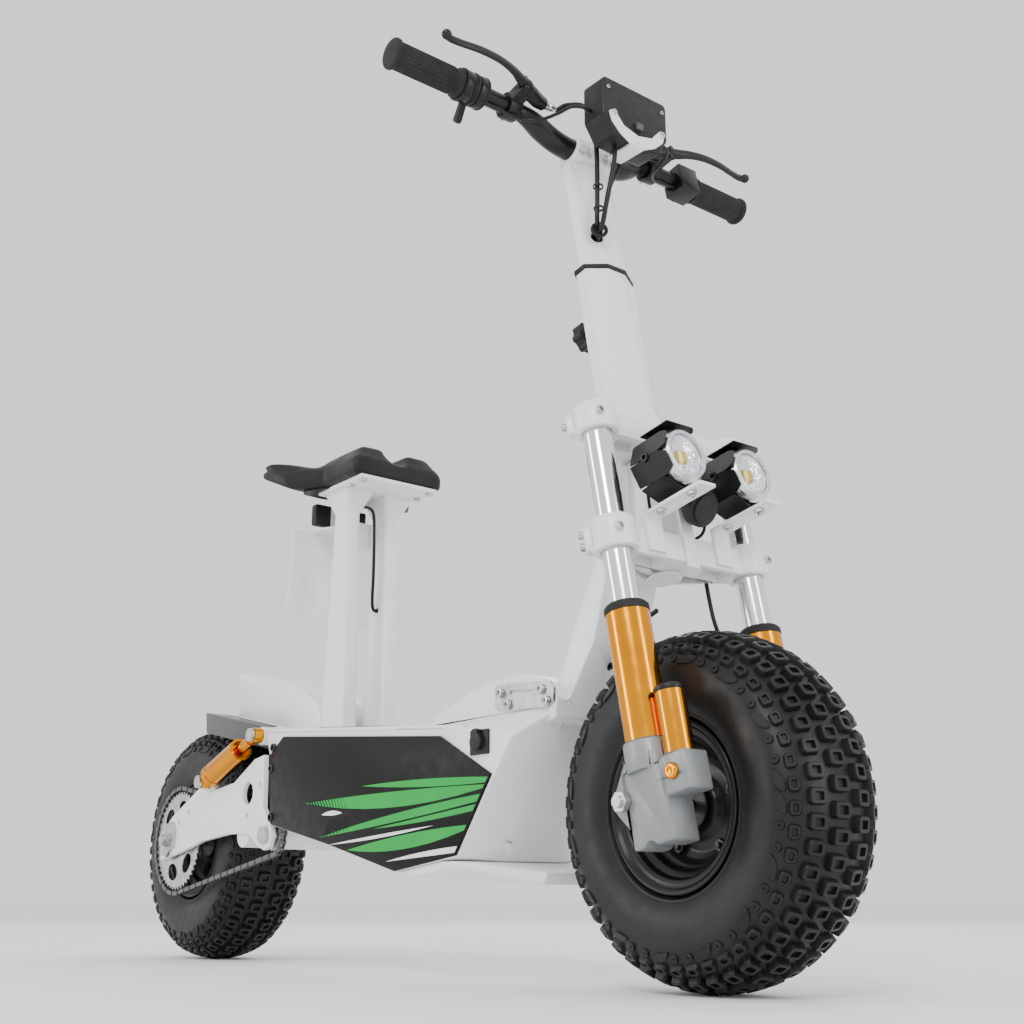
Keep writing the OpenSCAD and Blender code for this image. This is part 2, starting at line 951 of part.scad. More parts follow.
module neck() {
  color([0.95, 0.95, 0.95])
    difference() {
      union() {
        // bow that narrows towards the front wheel
        hull() {
          side_plate([
            [deck_front + 0.1, 284], [240, 280], [322, 270], [332, 264], [233, 136],
            [deck_front + 0.1, 132.9]], 2 * deck_y);
          side_plate([
            [270, 285], [365, 305], [341, 264], [288, 181], [258, 131.5], [240, 136.5]],
            2 * neck_y);
        }
        // cover plate flush with the deck lid
        side_plate([
          [lid_front + 0.1, deck_at(lid_front)], [240, 286], [240, 278], [deck_front + 0.1, 280],
          [deck_front + 0.1, 284.6], [lid_front + 0.1, deck_at(lid_front) - lid_t + 0.1]], 2 * deck_y);
        // rounded hump
        side_plate([
          [102, deck_at(102) - 2], [104, 298.5], [120, 302.5], [141, 311.5], [165, 321],
          [202, 330.5], [244, 338.5], [272, 342], [300, 341.5], [328, 336], [350, 325],
          [364, 308], [362, 285], [300, 262], [210, 270], [204, 287]], 116);
        // riser to the head tube
        side_plate([
          [322, 300], [345, 330], [412, 457], [432, 556], [456, 562], [462, 478],
          [433, 472], [431, 440], [408, 366], [371, 315], [341, 264], [310, 262]], 2 * neck_y);
        steer_frame()
          translate([0, 0, crown_lo + crown_lo_h + 4])
            cylinder(r = 28, h = crown_hi - crown_lo - crown_lo_h - 8);
      }
      // hollow inside
      hull() {
        side_plate([
          [deck_front - 30, 278], [236, 275], [300, 262], [306, 254], [232, 144],
          [deck_front - 30, 140]], 2 * deck_y - 10);
        side_plate([[262, 282], [350, 296], [330, 262], [281, 188], [262, 146]], 2 * neck_y - 10);
      }
      side_plate([
        [320, 280], [350, 322], [418, 452], [434, 545], [440, 545], [440, 478],
        [426, 472], [402, 366], [364, 316], [344, 284]], 2 * neck_y - 12);
      steer_frame()
        translate([0, 0, -10])
          cylinder(r = 15 + run_gap, h = 140);
      // drain and fixing holes low on the side
      for (p = [[268, 153], [309, 150]])
        translate([p[0], 0, p[1]])
          y_rod(2, 400);
      // hole for the cable that comes down from the head
      translate([384, 0, 344])
        rotate([0, 90, 0])
          cylinder(r = 4, h = 36, center = true);
    }
}

module belly_cover() {
  color([0.93, 0.93, 0.93])
    union() {
      hull() {
        side_plate([
          [110, 121], [200, 132.4], [233, 131.7], [233, 126], [140, 116]], 2 * deck_y - 2);
        side_plate([
          [150, 117], [240, 131.2], [256, 131], [346, 118], [340, 105], [300, 107]], 116);
      }
    }
}

// plate in line with XZ carrying bolt heads
module lock_plate() {
  difference() {
    side_plate([
      [256, 306], [256, 328], [262, 332], [283, 332], [356, 326], [363, 318],
      [362, 303], [352, 297], [326, 299], [290, 299]], 3.5);
    translate([306, 0, 319])
      rotate([0, 6, 0])
        cube([44, 8, 5], center = true);
  }
}

module bolt_y(x, z, r) {
  translate([x, 0, z])
    rotate([-90, 0, 0])
      difference() {
        cylinder(r = r, h = 3.5);
        translate([0, 0, 1.5])
          cylinder(r = r * 0.5, h = 3, $fn = 6);
      }
}

module frame_hardware() {
  color([0.7, 0.7, 0.72])
    union() {
      mirror_y() {
        translate([0, 58.02 + 1.75, 0])
          lock_plate();
        translate([0, 61.4, 0]) {
          bolt_y(269, 322, 5);
          bolt_y(343, 318, 5);
          bolt_y(283, 307, 4);
          bolt_y(352, 304, 4);
        }
        // seat plate bolts, from below
        for (x = [-90, -58])
          translate([x, 58, seat_z - 9.5])
            cylinder(r = 5, h = 3.4);
      }
      // kickstand bracket and pin on the left
      translate([60, deck_y + 3.02, 150])
        rotate([-90, 0, 0])
          union() {
            cylinder(r = 13, h = 3);
            cylinder(r = 5, h = 23);
            translate([0, 0, 19.2])
              cylinder(r = 8, h = 3.8);
          }
    }
}

module kickstand() {
  color([0.08, 0.08, 0.08])
    translate([60, deck_y + 6.2, 150])
      difference() {
        union() {
          rotate([-90, 0, 0])
            cylinder(r = 11, h = 15.8);
          hull() {
            translate([0, 8, 0])
              sphere(r = 7);
            translate([-118, 8, 22])
              sphere(r = 6);
          }
          translate([-118, 8, 22])
            rotate([0, 10, 0])
              cube([16, 16, 20], center = true);
        }
        rotate([-90, 0, 0])
          cylinder(r = 5.1, h = 60, center = true);
      }
}

module charge_port() {
  color([0.08, 0.08, 0.085])
    translate([276, -deck_y - 0.02, 262])
      rotate([90, 0, 0])
        difference() {
          union() {
            translate([-17, -14, 0])
              cube([34, 28, 3]);
            cylinder(r = 8.5, h = 6);
            // ears beside the hinge barrel
            for (x = [-6.2, 4.2])
              translate([x, 12, 2.9])
                cube([2, 2, 6.4]);
          }
          cylinder(r = 5.5, h = 20, center = true);
        }
}

module charge_cap() {
  color([0.12, 0.12, 0.12])
    translate([276, -deck_y - 0.02, 262])
      rotate([90, 0, 0])
        union() {
          translate([0, 0, 6.2])
            cylinder(r = 10, h = 3);
          translate([0, 0, 2])
            cylinder(r = 5, h = 5);
          translate([-4, 8, 6.2])
            cube([8, 5.5, 3]);
          // hinge barrel
          translate([-4, 13.5, 7.7])
            rotate([0, 90, 0])
              cylinder(r = 1.5, h = 8);
        }
}

module battery() {
  color([0.15, 0.2, 0.35])
    side_plate([[-108, 174.6], [-44, 160.6], [80, 132.3], [80, 250], [-108, 268]], 150);
}

module motor() {
  color([0.35, 0.35, 0.37])
    union() {
      translate([-158, 0, 236])
        y_rod(42, 140);
      side_plate([[-184, 189.5], [-134, 179.2], [-134, 215], [-184, 215]], 100);
    }
}

// carries the swing-arm pivot and the tops of the shock absorbers
module rear_block() {
  color([0.9, 0.9, 0.9])
    difference() {
      union() {
        side_plate([
          [-264, 332.4], [-240, 332.4], [-236.4, 326.2], [-236.4, 320.8], [-222.4, 286], [-208.3, 190.1],
          [-206, 176], [-226, 160], [-243, 172], [-250, 250], [-264, 300]], 150);
        translate([arm_pivot_x, 0, arm_pivot_z])
          y_rod(19, 150);
        translate([shock_high[0], 0, shock_high[1]])
          y_rod(13, 193.8);
      }
      translate([arm_pivot_x, 0, arm_pivot_z])
        y_rod(8.02, 300);
      translate([shock_high[0], 0, shock_high[1]])
        y_rod(6.02, 300);
      // lightening window
      side_plate([[-245, 215], [-222, 215], [-228, 270], [-248, 270]], 200);
    }
}

module pivot_axle() {
  color([0.75, 0.75, 0.77])
    union() {
      translate([arm_pivot_x, 0, arm_pivot_z]) {
        y_rod(8, 204);
        mirror_y()
          translate([0, 99.2, 0])
            y_rod(12, 5.8);
      }
      translate([shock_high[0], 0, shock_high[1]]) {
        y_rod(6, 228);
        mirror_y()
          translate([0, 114, 0])
            y_rod(9.5, 5);
      }
    }
}

module mudguard() {
  color([0.2, 0.2, 0.21])
    difference() {
      side_plate([[-265.6, 333], [-476, 376.7], [-470, 344], [-265.6, 302]], 156);
      side_plate([[-262, 329], [-480, 374.3], [-480, 300], [-262, 296]], 150);
    }
}

module tail_fairing() {
  color([0.95, 0.95, 0.95])
    difference() {
      side_plate([
        [-172.8, deck_at(-172.8) + 0.1], [-177, 345], [-192, 368], [-264, 403], [-420, 436],
        [-436, 436], [-440, 430], [-431, 368.1], [-264, 333.4], [-237, 332.6],
        [-236, deck_at(-236) + 0.1]], 88);
      side_plate([
        [-176, 300], [-181, 343], [-195, 364], [-266, 399], [-420, 432], [-434, 432],
        [-436, 428], [-427, 350], [-264, 320], [-237, 300]], 80);
    }
}

// ---- seat -----------------------------------------------------------

module post_slice(x0, x1, half, z) {
  for (x = [x0 + 8, x1 - 8]) for (y = [-half + 8, half - 8])
    translate([x, y, z])
      cylinder(r = 8, h = 1, $fn = 32);
}

module seat_posts() {
  color([0.95, 0.95, 0.95])
    difference() {
      union() {
        mirror_y()
          translate([0, post_y, 0]) {
            hull() {
              post_slice(-172, -112, 14, deck_at(-112) + 6);
              post_slice(-158, -118, 12.5, 600);
            }
            hull() {
              post_slice(-158, -118, 12.5, 600);
              post_slice(-156, -118, 12.5, seat_z - 38);
            }
            hull() {
              post_slice(-156, -118, 12.5, seat_z - 38);
              post_slice(-166, -100, 24, seat_z - 7);
            }
          }
        // foot on the deck lid
        side_plate([
          [-170, deck_at(-170) + 0.02], [-100, deck_at(-100) + 0.02], [-100, deck_at(-100) + 7],
          [-170, deck_at(-170) + 7]], 110);
        // plate under the saddle
        translate([-170, -66, seat_z - 6])
          cube([120, 132, 6]);
      }
      // cable hole, inner side of the left post
      translate([-136, post_y, 500])
        rotate([90, 0, 0])
          cylinder(r = 4, h = 40);
    }
}

module seat_pad() {
  color([0.07, 0.07, 0.07])
    union() {
      // base slab
      translate([0, 0, seat_z + 0.02])
        linear_extrude(height = 26)
          polygon([[-48, -60], [-52, -seat_y], [-140, -seat_y + 6], [-190, -112], [-240, -126],
                   [-250, -112], [-214, -60], [-200, 0], [-214, 60], [-250, 112], [-240, 126],
                   [-190, 112], [-140, seat_y - 6], [-52, seat_y], [-48, 60]]);
      // two front lobes with a channel between
      mirror_y()
        hull() {
          translate([-120, 14, seat_z + 20])
            cube([68, 58, 6]);
          translate([-150, 20, seat_z + 44])
            cube([86, 36, 4]);
          translate([-190, 16, seat_z + 20])
            cube([10, 60, 10]);
        }
      // wings, rising to the back
      mirror_y()
        hull() {
          translate([-196, 30, seat_z + 20])
            cube([40, 50, 12]);
          translate([-242, 104, seat_z + 34])
            cube([20, 18, 16]);
          translate([-216, 60, seat_z + 26])
            cube([20, 30, 14]);
        }
    }
}

module tail_lamp() {
  color([0.05, 0.05, 0.05])
    translate([-226, -45, 638])
      cube([16, 90, 33]);
}

module plate_holder() {
  color([0.93, 0.93, 0.93])
    difference() {
      union() {
        // between the seat posts
        translate([-160, -post_y + 12.5, 596])
          cube([4, 2 * post_y - 25, 40]);
        translate([-214, -14, 622])
          cube([56, 28, 4]);
        // round shelf
        translate([-206, 0, 626])
          cylinder(r = 44, h = 3);
        // tab behind the lamp
        translate([-209.98, -20, 628])
          cube([3, 40, 40]);
        // hanging sheet
        side_plate([[-229, 626], [-226, 628], [-238, 494], [-241, 494]], 146);
      }
      for (y = [-34, 34])
        for (z = [520, 600])
          translate([-235, y, z])
            cube([30, 22, 6], center = true);
    }
}

module frame_cables() {
  color([0.05, 0.05, 0.05])
    union() {
      cord([[-206.9, 8, 650], [-198, 8, 650], [-185, 4, 659], [-155, 0, 660],
            [-112, -6, 642], [-100, -10, 600],
            [-108, -4, 550], [-128, 8, 512], [-136, 16, 500], [-136, 26, 500]], 2.2);
      cord([[steer_x(-10), 0, steer_z(-10)], [steer_x(-44), 0, steer_z(-44)], [468, 0, 396],
            [440, 0, 384], [412, 0, 351], [398, 0, 344], [368, 0, 344]], 2.6);
    }
}

// points on the steering axis, w above the lower crown
function steer_x(w) = head_x - w * sin(rake);
function steer_z(w) = head_z + w * cos(rake);

// two brake cables and the display wire enter the nose of the column;
// the throttle and switch wires end at the sides of the display
module bar_cables() {
  color([0.05, 0.05, 0.05])
    steer_frame()
      union() {
        cord([[20, -81.8, 597], [20, -74, 597.4], [28, -54, 606], [40, -32, 600],
              [42, -25, 565], [40, -25, 530], [34, -30, 475], [26, -31, 436],
              [21.2, -27.3, 428.5], [0.9, -16.5, 428]], 2.4);
        cord([[20, 81.8, 597], [20, 74, 597.4], [28, 54, 606], [40, 32, 600],
              [42, 22, 565], [40, 14, 530], [34, -8, 485], [28, -21, 438],
              [23.8, -22.3, 429.5], [3.5, -11.5, 428]], 2.4);
        cord([[65.6, -20, 522.2], [64, -22, 505], [52, -28, 465], [31, -29, 424],
              [22.6, -24.6, 421], [2.3, -13.8, 421]], 2.2);
        cord([[-2, -164.7, 580], [-2, -158, 579], [4, -120, 570], [20, -100, 562],
              [46, -90, 558], [63, -82, 559], [69, -68, 560], [69, -54.9, 560]], 2);
        cord([[0, 162.7, 580], [0, 156, 579], [4, 120, 570], [20, 100, 562],
              [46, 90, 558], [63, 82, 559], [69, 68, 560], [69, 54.9, 560]], 2);
      }
}

// ---- rear suspension ------------------------------------------------

module swing_arms() {
  color([0.95, 0.95, 0.95])
    difference() {
      union() {
        mirror_y()
          translate([0, 92, 0])
            side_plate([
              [-568, 150], [-572, 190], [-535, 216], [-428, 262], [-420, 273], [-404, 273],
              [-396, 262], [-390, 249], [-330, 256], [-268, 286], [-240, 290], [-236, 215],
              [-212, 192], [-207, 176], [-214, 160], [-228, 156], [-246, 162], [-278, 181],
              [-340, 182], [-422, 175], [-500, 160]], 8);
        // cross tube in front of the tyre
        translate([-300, 0, 180])
          y_rod(18, 184);
      }
      translate([arm_pivot_x, 0, arm_pivot_z])
        y_rod(8 + run_gap, 300);
      translate([rear_x, 0, tyre_r])
        y_rod(8.02, 300);
      translate([shock_low[0], 0, shock_low[1]])
        y_rod(6.02, 300);
      translate([-285, 0, 238])
        y_rod(16, 300);
      for (p = [[-250, 249], [-284, 206], [-479, 221], [-511, 207]])
        translate([p[0], 0, p[1]])
          y_rod(4, 300);
    }
}

module rear_axle() {
  color([0.7, 0.7, 0.72])
    union() {
      translate([rear_x, 0, tyre_r]) {
        y_rod(8, 224);
        mirror_y() {
          translate([0, 105, 0])
            rotate([90, 0, 0])
              cylinder(r = 12, h = 7.6, center = true, $fn = 6);
          translate([0, 86, 0])
            y_rod(12, 3.6);
        }
      }
      // chain adjuster plates
      mirror_y()
        translate([0, 98.6, 0])
          side_plate([
            [-556, 158], [-540, 154], [-520, 170], [-516, 196], [-526, 208], [-548, 204]], 5);
      // lower shock bolts
      mirror_y()
        translate([shock_low[0], 103, shock_low[1]]) {
          y_rod(6, 22);
          translate([0, 11.5, 0])
            y_rod(9.5, 5);
        }
    }
}

module rear_caliper() {
  color([0.08, 0.08, 0.085])
    union() {
      difference() {
        translate([-506, 65, 204])
          cube([44, 20, 44]);
        translate([rear_x, 74, tyre_r])
          y_rod(72.5, 6);
      }
      translate([-490, 84.9, 214])
        cube([20, 3.08, 20]);
    }
}

shock_len = norm(shock_high - shock_low);
shock_angle = atan2(shock_high[1] - shock_low[1], shock_high[0] - shock_low[0]);

// local +Z runs from the lower eye to the upper eye
module shock_frame() {
  mirror_y()
    translate([shock_low[0], shock_y, shock_low[1]])
      rotate([0, 90 - shock_angle, 0])
        children();
}

module shock_bodies() {
  color([0.93, 0.6, 0.1])
    shock_frame()
      difference() {
        union() {
          y_rod(10, 13.8);
          cylinder(r = 6.5, h = 26);
          translate([0, 0, 22])
            cylinder(r = 17, h = 98);
          translate([0, 0, 30])
            cylinder(r = 17.8, h = 4);
        }
        y_rod(6 + run_gap, 30);
        translate([0, 0, 40])
          cylinder(r = 8 + run_gap, h = 90);
        translate([0, 0, 112])
          cylinder(r = 13, h = 20);
      }
}

module shock_rods() {
  color([0.93, 0.65, 0.2])
    shock_frame()
      difference() {
        union() {
          translate([0, 0, 60])
            cylinder(r = 8, h = shock_len - 78);
          translate([0, 0, shock_len - 20])
            cylinder(r = 6, h = 12);
          translate([0, 0, shock_len])
            y_rod(11, 13.8);
        }
        translate([0, 0, shock_len])
          y_rod(6.4, 30);
      }
}

// ---- one line for each piece ----------------------------------------

deck_box();
deck_lid();
side_panels();
belly_cover();
neck();
frame_hardware();
charge_port();
charge_cap();
battery();
motor();
rear_block();
pivot_axle();
mudguard();
tail_fairing();
seat_posts();
seat_pad();
tail_lamp();
plate_holder();
frame_cables();
kickstand();
fork_crowns();
steerer();
stanchions();
lower_column();
column_collar();
lamp_brackets();
lamp_bodies();
lamp_bezels();
lamp_lenses();
horn();
crown_bolts();
clamp_knob();
upper_column();
handlebar();
grips();
display();
lever_mounts();
lever_right();
lever_left();
thumb_throttle();
horn_button();
light_button();
bar_cables();
fork_sliders();
fork_castings();
front_axle();
front_caliper();
fork_cable();
front_tyre();
front_rim();
swing_arms();
rear_axle();
rear_caliper();
chain();
rear_tyre();
rear_rim();
rear_sprocket();
drive_sprocket();
shock_bodies();
shock_rods();
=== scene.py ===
# Seated off-road electric kick scooter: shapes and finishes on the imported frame.
import bpy
import bmesh
import math
from mathutils import Matrix, Vector


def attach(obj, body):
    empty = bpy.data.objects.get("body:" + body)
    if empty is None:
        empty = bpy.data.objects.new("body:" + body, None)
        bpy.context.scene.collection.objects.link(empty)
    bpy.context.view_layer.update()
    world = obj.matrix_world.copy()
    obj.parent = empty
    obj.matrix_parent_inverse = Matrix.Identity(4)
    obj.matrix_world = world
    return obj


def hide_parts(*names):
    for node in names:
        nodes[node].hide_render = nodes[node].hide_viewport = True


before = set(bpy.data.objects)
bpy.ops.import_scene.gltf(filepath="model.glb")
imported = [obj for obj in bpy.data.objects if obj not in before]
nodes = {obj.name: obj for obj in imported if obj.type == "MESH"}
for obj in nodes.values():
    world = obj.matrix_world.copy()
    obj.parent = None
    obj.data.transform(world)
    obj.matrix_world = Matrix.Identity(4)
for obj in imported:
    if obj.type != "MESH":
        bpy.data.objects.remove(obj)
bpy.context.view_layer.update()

MM = 0.001
RAKE = math.radians(11)
HEAD = Vector((475, 0, 458)) * MM
FRONT_HUB = Vector((536, 0, 180)) * MM
REAR_HUB = Vector((-536, 0, 180)) * MM
PIVOT = Vector((-226, 0, 177)) * MM
BAR_W = 561
GRIP_U = -4
GRIP_W = 593
LEG_U = 34
LEG_Y = 101.5
DECK_SLOPE = 0.0837
PANEL_FACE = 100.01
CAMERA_PLACE = (1.4828, -1.0152, 0.0900)
CAMERA_HEADING = 0.6739
CAMERA_PITCH = 0.2859
CAMERA_LENS = 46.3289


def at(x, y, z):
    """A point in millimetres, as metres."""
    return Vector((x, y, z)) * MM


def moved(x, y, z):
    return Matrix.Translation(at(x, y, z))


def turned(degrees, axis):
    return Matrix.Rotation(math.radians(degrees), 4, axis)


# turns the steering's own axes (u forward, y left, w up the axis) into the scooter's
STEER = Matrix.Translation(HEAD) @ Matrix.Rotation(-RAKE, 4, "Y")


def steer(u, y, w):
    return STEER @ at(u, y, w)


# ---- camera, floor and light ----------------------------------------------------

def add_object(name, data):
    thing = bpy.data.objects.new(name, data)
    bpy.context.scene.collection.objects.link(thing)
    return thing


def applied(thing):
    """The mesh that an object has once its modifiers are applied."""
    return bpy.data.meshes.new_from_object(thing.evaluated_get(bpy.context.evaluated_depsgraph_get()))


def set_camera():
    cam = bpy.data.cameras.new("camera")
    cam.sensor_width = 36
    cam.lens = CAMERA_LENS
    cam.clip_start = 0.05
    holder = add_object("camera", cam)
    flat = math.cos(CAMERA_PITCH)
    ahead = Vector((-math.cos(CAMERA_HEADING) * flat, math.sin(CAMERA_HEADING) * flat,
                    math.sin(CAMERA_PITCH)))
    holder.location = CAMERA_PLACE
    holder.rotation_euler = ahead.to_track_quat("-Z", "Y").to_euler()
    bpy.context.scene.camera = holder


def add_light(name, place, target, size, power):
    lamp = bpy.data.lights.new(name, "AREA")
    lamp.shape = "RECTANGLE"
    lamp.size, lamp.size_y = size
    lamp.energy = power
    holder = add_object(name, lamp)
    holder.location = place
    holder.rotation_euler = (Vector(target) - Vector(place)).to_track_quat("-Z", "Y").to_euler()


def set_studio():
    world = bpy.data.worlds.new("studio")
    world.use_nodes = True
    backdrop = world.node_tree.nodes["Background"]
    backdrop.inputs["Color"].default_value = (1, 1, 1, 1)
    backdrop.inputs["Strength"].default_value = 1.2
    bpy.context.scene.world = world
    floor = bpy.data.meshes.new("floor")
    floor.from_pydata([(-30, -30, 0), (30, -30, 0), (30, 30, 0), (-30, 30, 0)], [], [(0, 1, 2, 3)])
    ground = add_object("floor", floor)
    pale = bpy.data.materials.new("pale floor")
    pale.use_nodes = True
    shader = pale.node_tree.nodes["Principled BSDF"]
    shader.inputs["Base Color"].default_value = (0.93, 0.93, 0.93, 1)
    shader.inputs["Roughness"].default_value = 0.7
    shader.inputs["Specular IOR Level"].default_value = 0.1
    floor.materials.append(pale)
    add_light("key", (2.2, -2.6, 2.6), (0.1, 0, 0.5), (1.0, 1.0), 62)
    add_light("side", (-1.6, -2.8, 1.2), (-0.2, 0, 0.4), (0.6, 1.8), 30)
    add_light("front", (3.2, 0.6, 1.2), (0.4, 0, 0.5), (0.5, 2.0), 26)
    add_light("back", (-2.0, 2.6, 2.2), (0, 0, 0.6), (1.6, 1.6), 26)


# ---- finishes --------------------------------------------------------------------

class Finish:
    """A material with short ways to add pattern nodes on Object coordinates."""

    def __init__(self, name, colour, rough, metal=0.0, **sockets):
        self.mat = bpy.data.materials.new(name)
        self.mat.use_nodes = True
        self.tree = self.mat.node_tree
        self.shader = self.tree.nodes["Principled BSDF"]
        self.shader.inputs["Base Color"].default_value = (*colour, 1)
        self.shader.inputs["Roughness"].default_value = rough
        self.shader.inputs["Metallic"].default_value = metal
        for socket, value in sockets.items():
            self.shader.inputs[socket.replace("_", " ")].default_value = value
        self.place = self.tree.nodes.new("ShaderNodeTexCoord").outputs["Object"]
        self.bumps = None

    def node(self, kind, **values):
        made = self.tree.nodes.new(kind)
        for key, value in values.items():
            setattr(made, key, value)
        return made

    def link(self, a, b):
        self.tree.links.new(a, b)

    def stretched(self, scale):
        mapping = self.node("ShaderNodeMapping")
        mapping.inputs["Scale"].default_value = scale
        self.link(self.place, mapping.inputs["Vector"])
        return mapping.outputs["Vector"]

    def noise(self, scale, detail=3.0, rough=0.55, place=None):
        made = self.node("ShaderNodeTexNoise")
        made.inputs["Scale"].default_value = scale
        made.inputs["Detail"].default_value = detail
        made.inputs["Roughness"].default_value = rough
        self.link(place or self.place, made.inputs["Vector"])
        return made.outputs["Fac"]

    def cells(self, scale, feature="F1"):
        made = self.node("ShaderNodeTexVoronoi", feature=feature)
        made.inputs["Scale"].default_value = scale
        self.link(self.place, made.inputs["Vector"])
        return made.outputs["Distance"]

    def colours(self, value, *stops):
        made = self.node("ShaderNodeValToRGB")
        ramp = made.color_ramp
        while len(ramp.elements) < len(stops):
            ramp.elements.new(0.5)
        for element, (spot, colour) in zip(ramp.elements, stops):
            element.position = spot
            element.color = (*colour, 1)
        self.link(value, made.inputs["Fac"])
        self.link(made.outputs["Color"], self.shader.inputs["Base Color"])

    def roughness(self, value, low, high):
        made = self.node("ShaderNodeMapRange")
        for socket, number in (("From Min", 0.3), ("From Max", 0.7), ("To Min", low), ("To Max", high)):
            made.inputs[socket].default_value = number
        self.link(value, made.inputs["Value"])
        self.link(made.outputs["Result"], self.shader.inputs["Roughness"])

    def bump(self, value, depth, strength=1.0):
        made = self.node("ShaderNodeBump")
        made.inputs["Distance"].default_value = depth
        made.inputs["Strength"].default_value = strength
        self.link(value, made.inputs["Height"])
        if self.bumps:
            self.link(self.bumps, made.inputs["Normal"])
        self.bumps = made.outputs["Normal"]
        self.link(self.bumps, self.shader.inputs["Normal"])


def powder_coat(name, light, dark, rough=0.34):
    f = Finish(name, light, rough, Coat_Weight=0.25, Coat_Roughness=0.18)
    f.colours(f.noise(5, 4), (0.3, dark), (0.62, light))
    f.roughness(f.noise(40, 4), rough - 0.05, rough + 0.07)
    f.bump(f.noise(1100, 2), 0.00012, 0.35)
    return f.mat


def gloss_black(name, rough=0.3, tone=0.006, shine=0.3):
    f = Finish(name, (tone, tone, tone), rough, Specular_IOR_Level=shine)
    f.colours(f.noise(9, 4), (0.3, (tone, tone, tone * 1.05)), (0.7, (tone * 1.8,) * 3))
    f.roughness(f.noise(60, 4), rough - 0.05, rough + 0.1)
    f.bump(f.noise(900, 2), 0.0001, 0.3)
    return f.mat


def moulded_plastic(name, tone=0.011, rough=0.46, grain=0.0001):
    f = Finish(name, (tone,) * 3, rough, Specular_IOR_Level=0.25)
    f.colours(f.noise(14, 4), (0.3, (tone * 0.8,) * 3), (0.7, (tone * 1.5,) * 3))
    f.roughness(f.noise(80, 4), rough - 0.08, rough + 0.1)
    f.bump(f.cells(1500), grain, 0.5)
    return f.mat


def anodised_gold():
    f = Finish("gold anodised aluminium", (0.72, 0.27, 0.003), 0.2, 1.0)
    f.colours(f.noise(8, 3), (0.3, (0.66, 0.235, 0.002)), (0.7, (0.78, 0.31, 0.006)))
    f.roughness(f.noise(60, 3), 0.14, 0.24)
    f.bump(f.noise(1200, 2), 0.00002, 0.3)
    return f.mat


def hard_chrome():
    f = Finish("hard chrome", (0.78, 0.79, 0.81), 0.12, 1.0)
    f.roughness(f.noise(90, 4, 0.6, f.stretched((1, 1, 5))), 0.08, 0.2)
    f.bump(f.noise(700, 2, 0.5, f.stretched((1, 1, 6))), 0.00003, 0.4)
    return f.mat


def zinc_steel(name="zinc plated steel", tone=0.55, rough=0.33):
    f = Finish(name, (tone, tone, tone), rough, 1.0)
    f.colours(f.noise(70, 4), (0.3, (tone * 0.8, tone * 0.8, tone * 0.82)), (0.7, (tone * 1.15,) * 3))
    f.roughness(f.noise(160, 4), rough - 0.1, rough + 0.12)
    f.bump(f.noise(1300, 3), 0.00008, 0.5)
    return f.mat


def grey_casting():
    f = Finish("grey painted casting", (0.25, 0.26, 0.27), 0.38, 0.35, Coat_Weight=0.15)
    f.colours(f.noise(18, 4), (0.3, (0.21, 0.22, 0.23)), (0.7, (0.27, 0.28, 0.29)))
    f.roughness(f.noise(120, 4), 0.36, 0.52)
    f.bump(f.noise(650, 4), 0.00025, 0.5)
    return f.mat


def tyre_rubber():
    f = Finish("tyre rubber", (0.008, 0.008, 0.0085), 0.5, Specular_IOR_Level=0.28)
    f.colours(f.noise(16, 5, 0.6), (0.3, (0.006, 0.006, 0.0065)), (0.72, (0.014, 0.014, 0.0145)))
    f.roughness(f.noise(60, 5), 0.34, 0.5)
    f.bump(f.noise(520, 4), 0.0003, 0.4)
    f.bump(f.noise(2400, 2), 0.0001, 0.4)
    return f.mat


def grip_rubber():
    f = Finish("grip rubber", (0.01, 0.01, 0.01), 0.6, Specular_IOR_Level=0.25)
    f.colours(f.noise(40, 3), (0.3, (0.01,) * 3), (0.7, (0.02,) * 3))
    f.roughness(f.noise(90, 4), 0.55, 0.72)
    f.bump(f.cells(1100), 0.00025, 0.5)
    return f.mat


def saddle_vinyl():
    f = Finish("saddle vinyl", (0.008, 0.008, 0.0085), 0.42, Sheen_Weight=0.03, Specular_IOR_Level=0.25)
    f.colours(f.noise(22, 4), (0.3, (0.006,) * 3), (0.7, (0.013,) * 3))
    f.roughness(f.noise(60, 4), 0.38, 0.56)
    f.bump(f.cells(520, "DISTANCE_TO_EDGE"), 0.0005, 0.45)
    f.bump(f.noise(900, 3), 0.0002, 0.4)
    return f.mat


def cable_sheath():
    f = Finish("cable sheath", (0.007,) * 3, 0.38, Specular_IOR_Level=0.3)
    f.roughness(f.noise(120, 3), 0.32, 0.48)
    f.bump(f.noise(1500, 2), 0.00008, 0.4)
    return f.mat


def clear_glass():
    f = Finish("lamp glass", (0.97, 0.98, 1.0), 0.03, Transmission_Weight=1.0, IOR=1.46)
    f.roughness(f.noise(60, 3), 0.015, 0.06)
    return f.mat


def bright_reflector():
    f = Finish("lamp reflector", (0.86, 0.87, 0.9), 0.1, 1.0)
    f.bump(f.cells(260), 0.0012, 0.5)
    f.roughness(f.noise(60, 3), 0.06, 0.14)
    return f.mat


def turned_aluminium():
    f = Finish("turned aluminium", (0.72, 0.73, 0.75), 0.24, 1.0)
    f.roughness(f.noise(160, 3), 0.18, 0.32)
    f.bump(f.noise(1200, 3, 0.6, f.stretched((7, 1, 7))), 0.00005, 0.5)
    return f.mat


def vinyl_stripe(name, colour):
    f = Finish(name, colour, 0.4, Specular_IOR_Level=0.15)
    darker = tuple(c * 0.9 for c in colour)
    f.colours(f.noise(10, 3), (0.3, darker), (0.7, colour))
    f.bump(f.noise(900, 2), 0.00006, 0.3)
    return f.mat


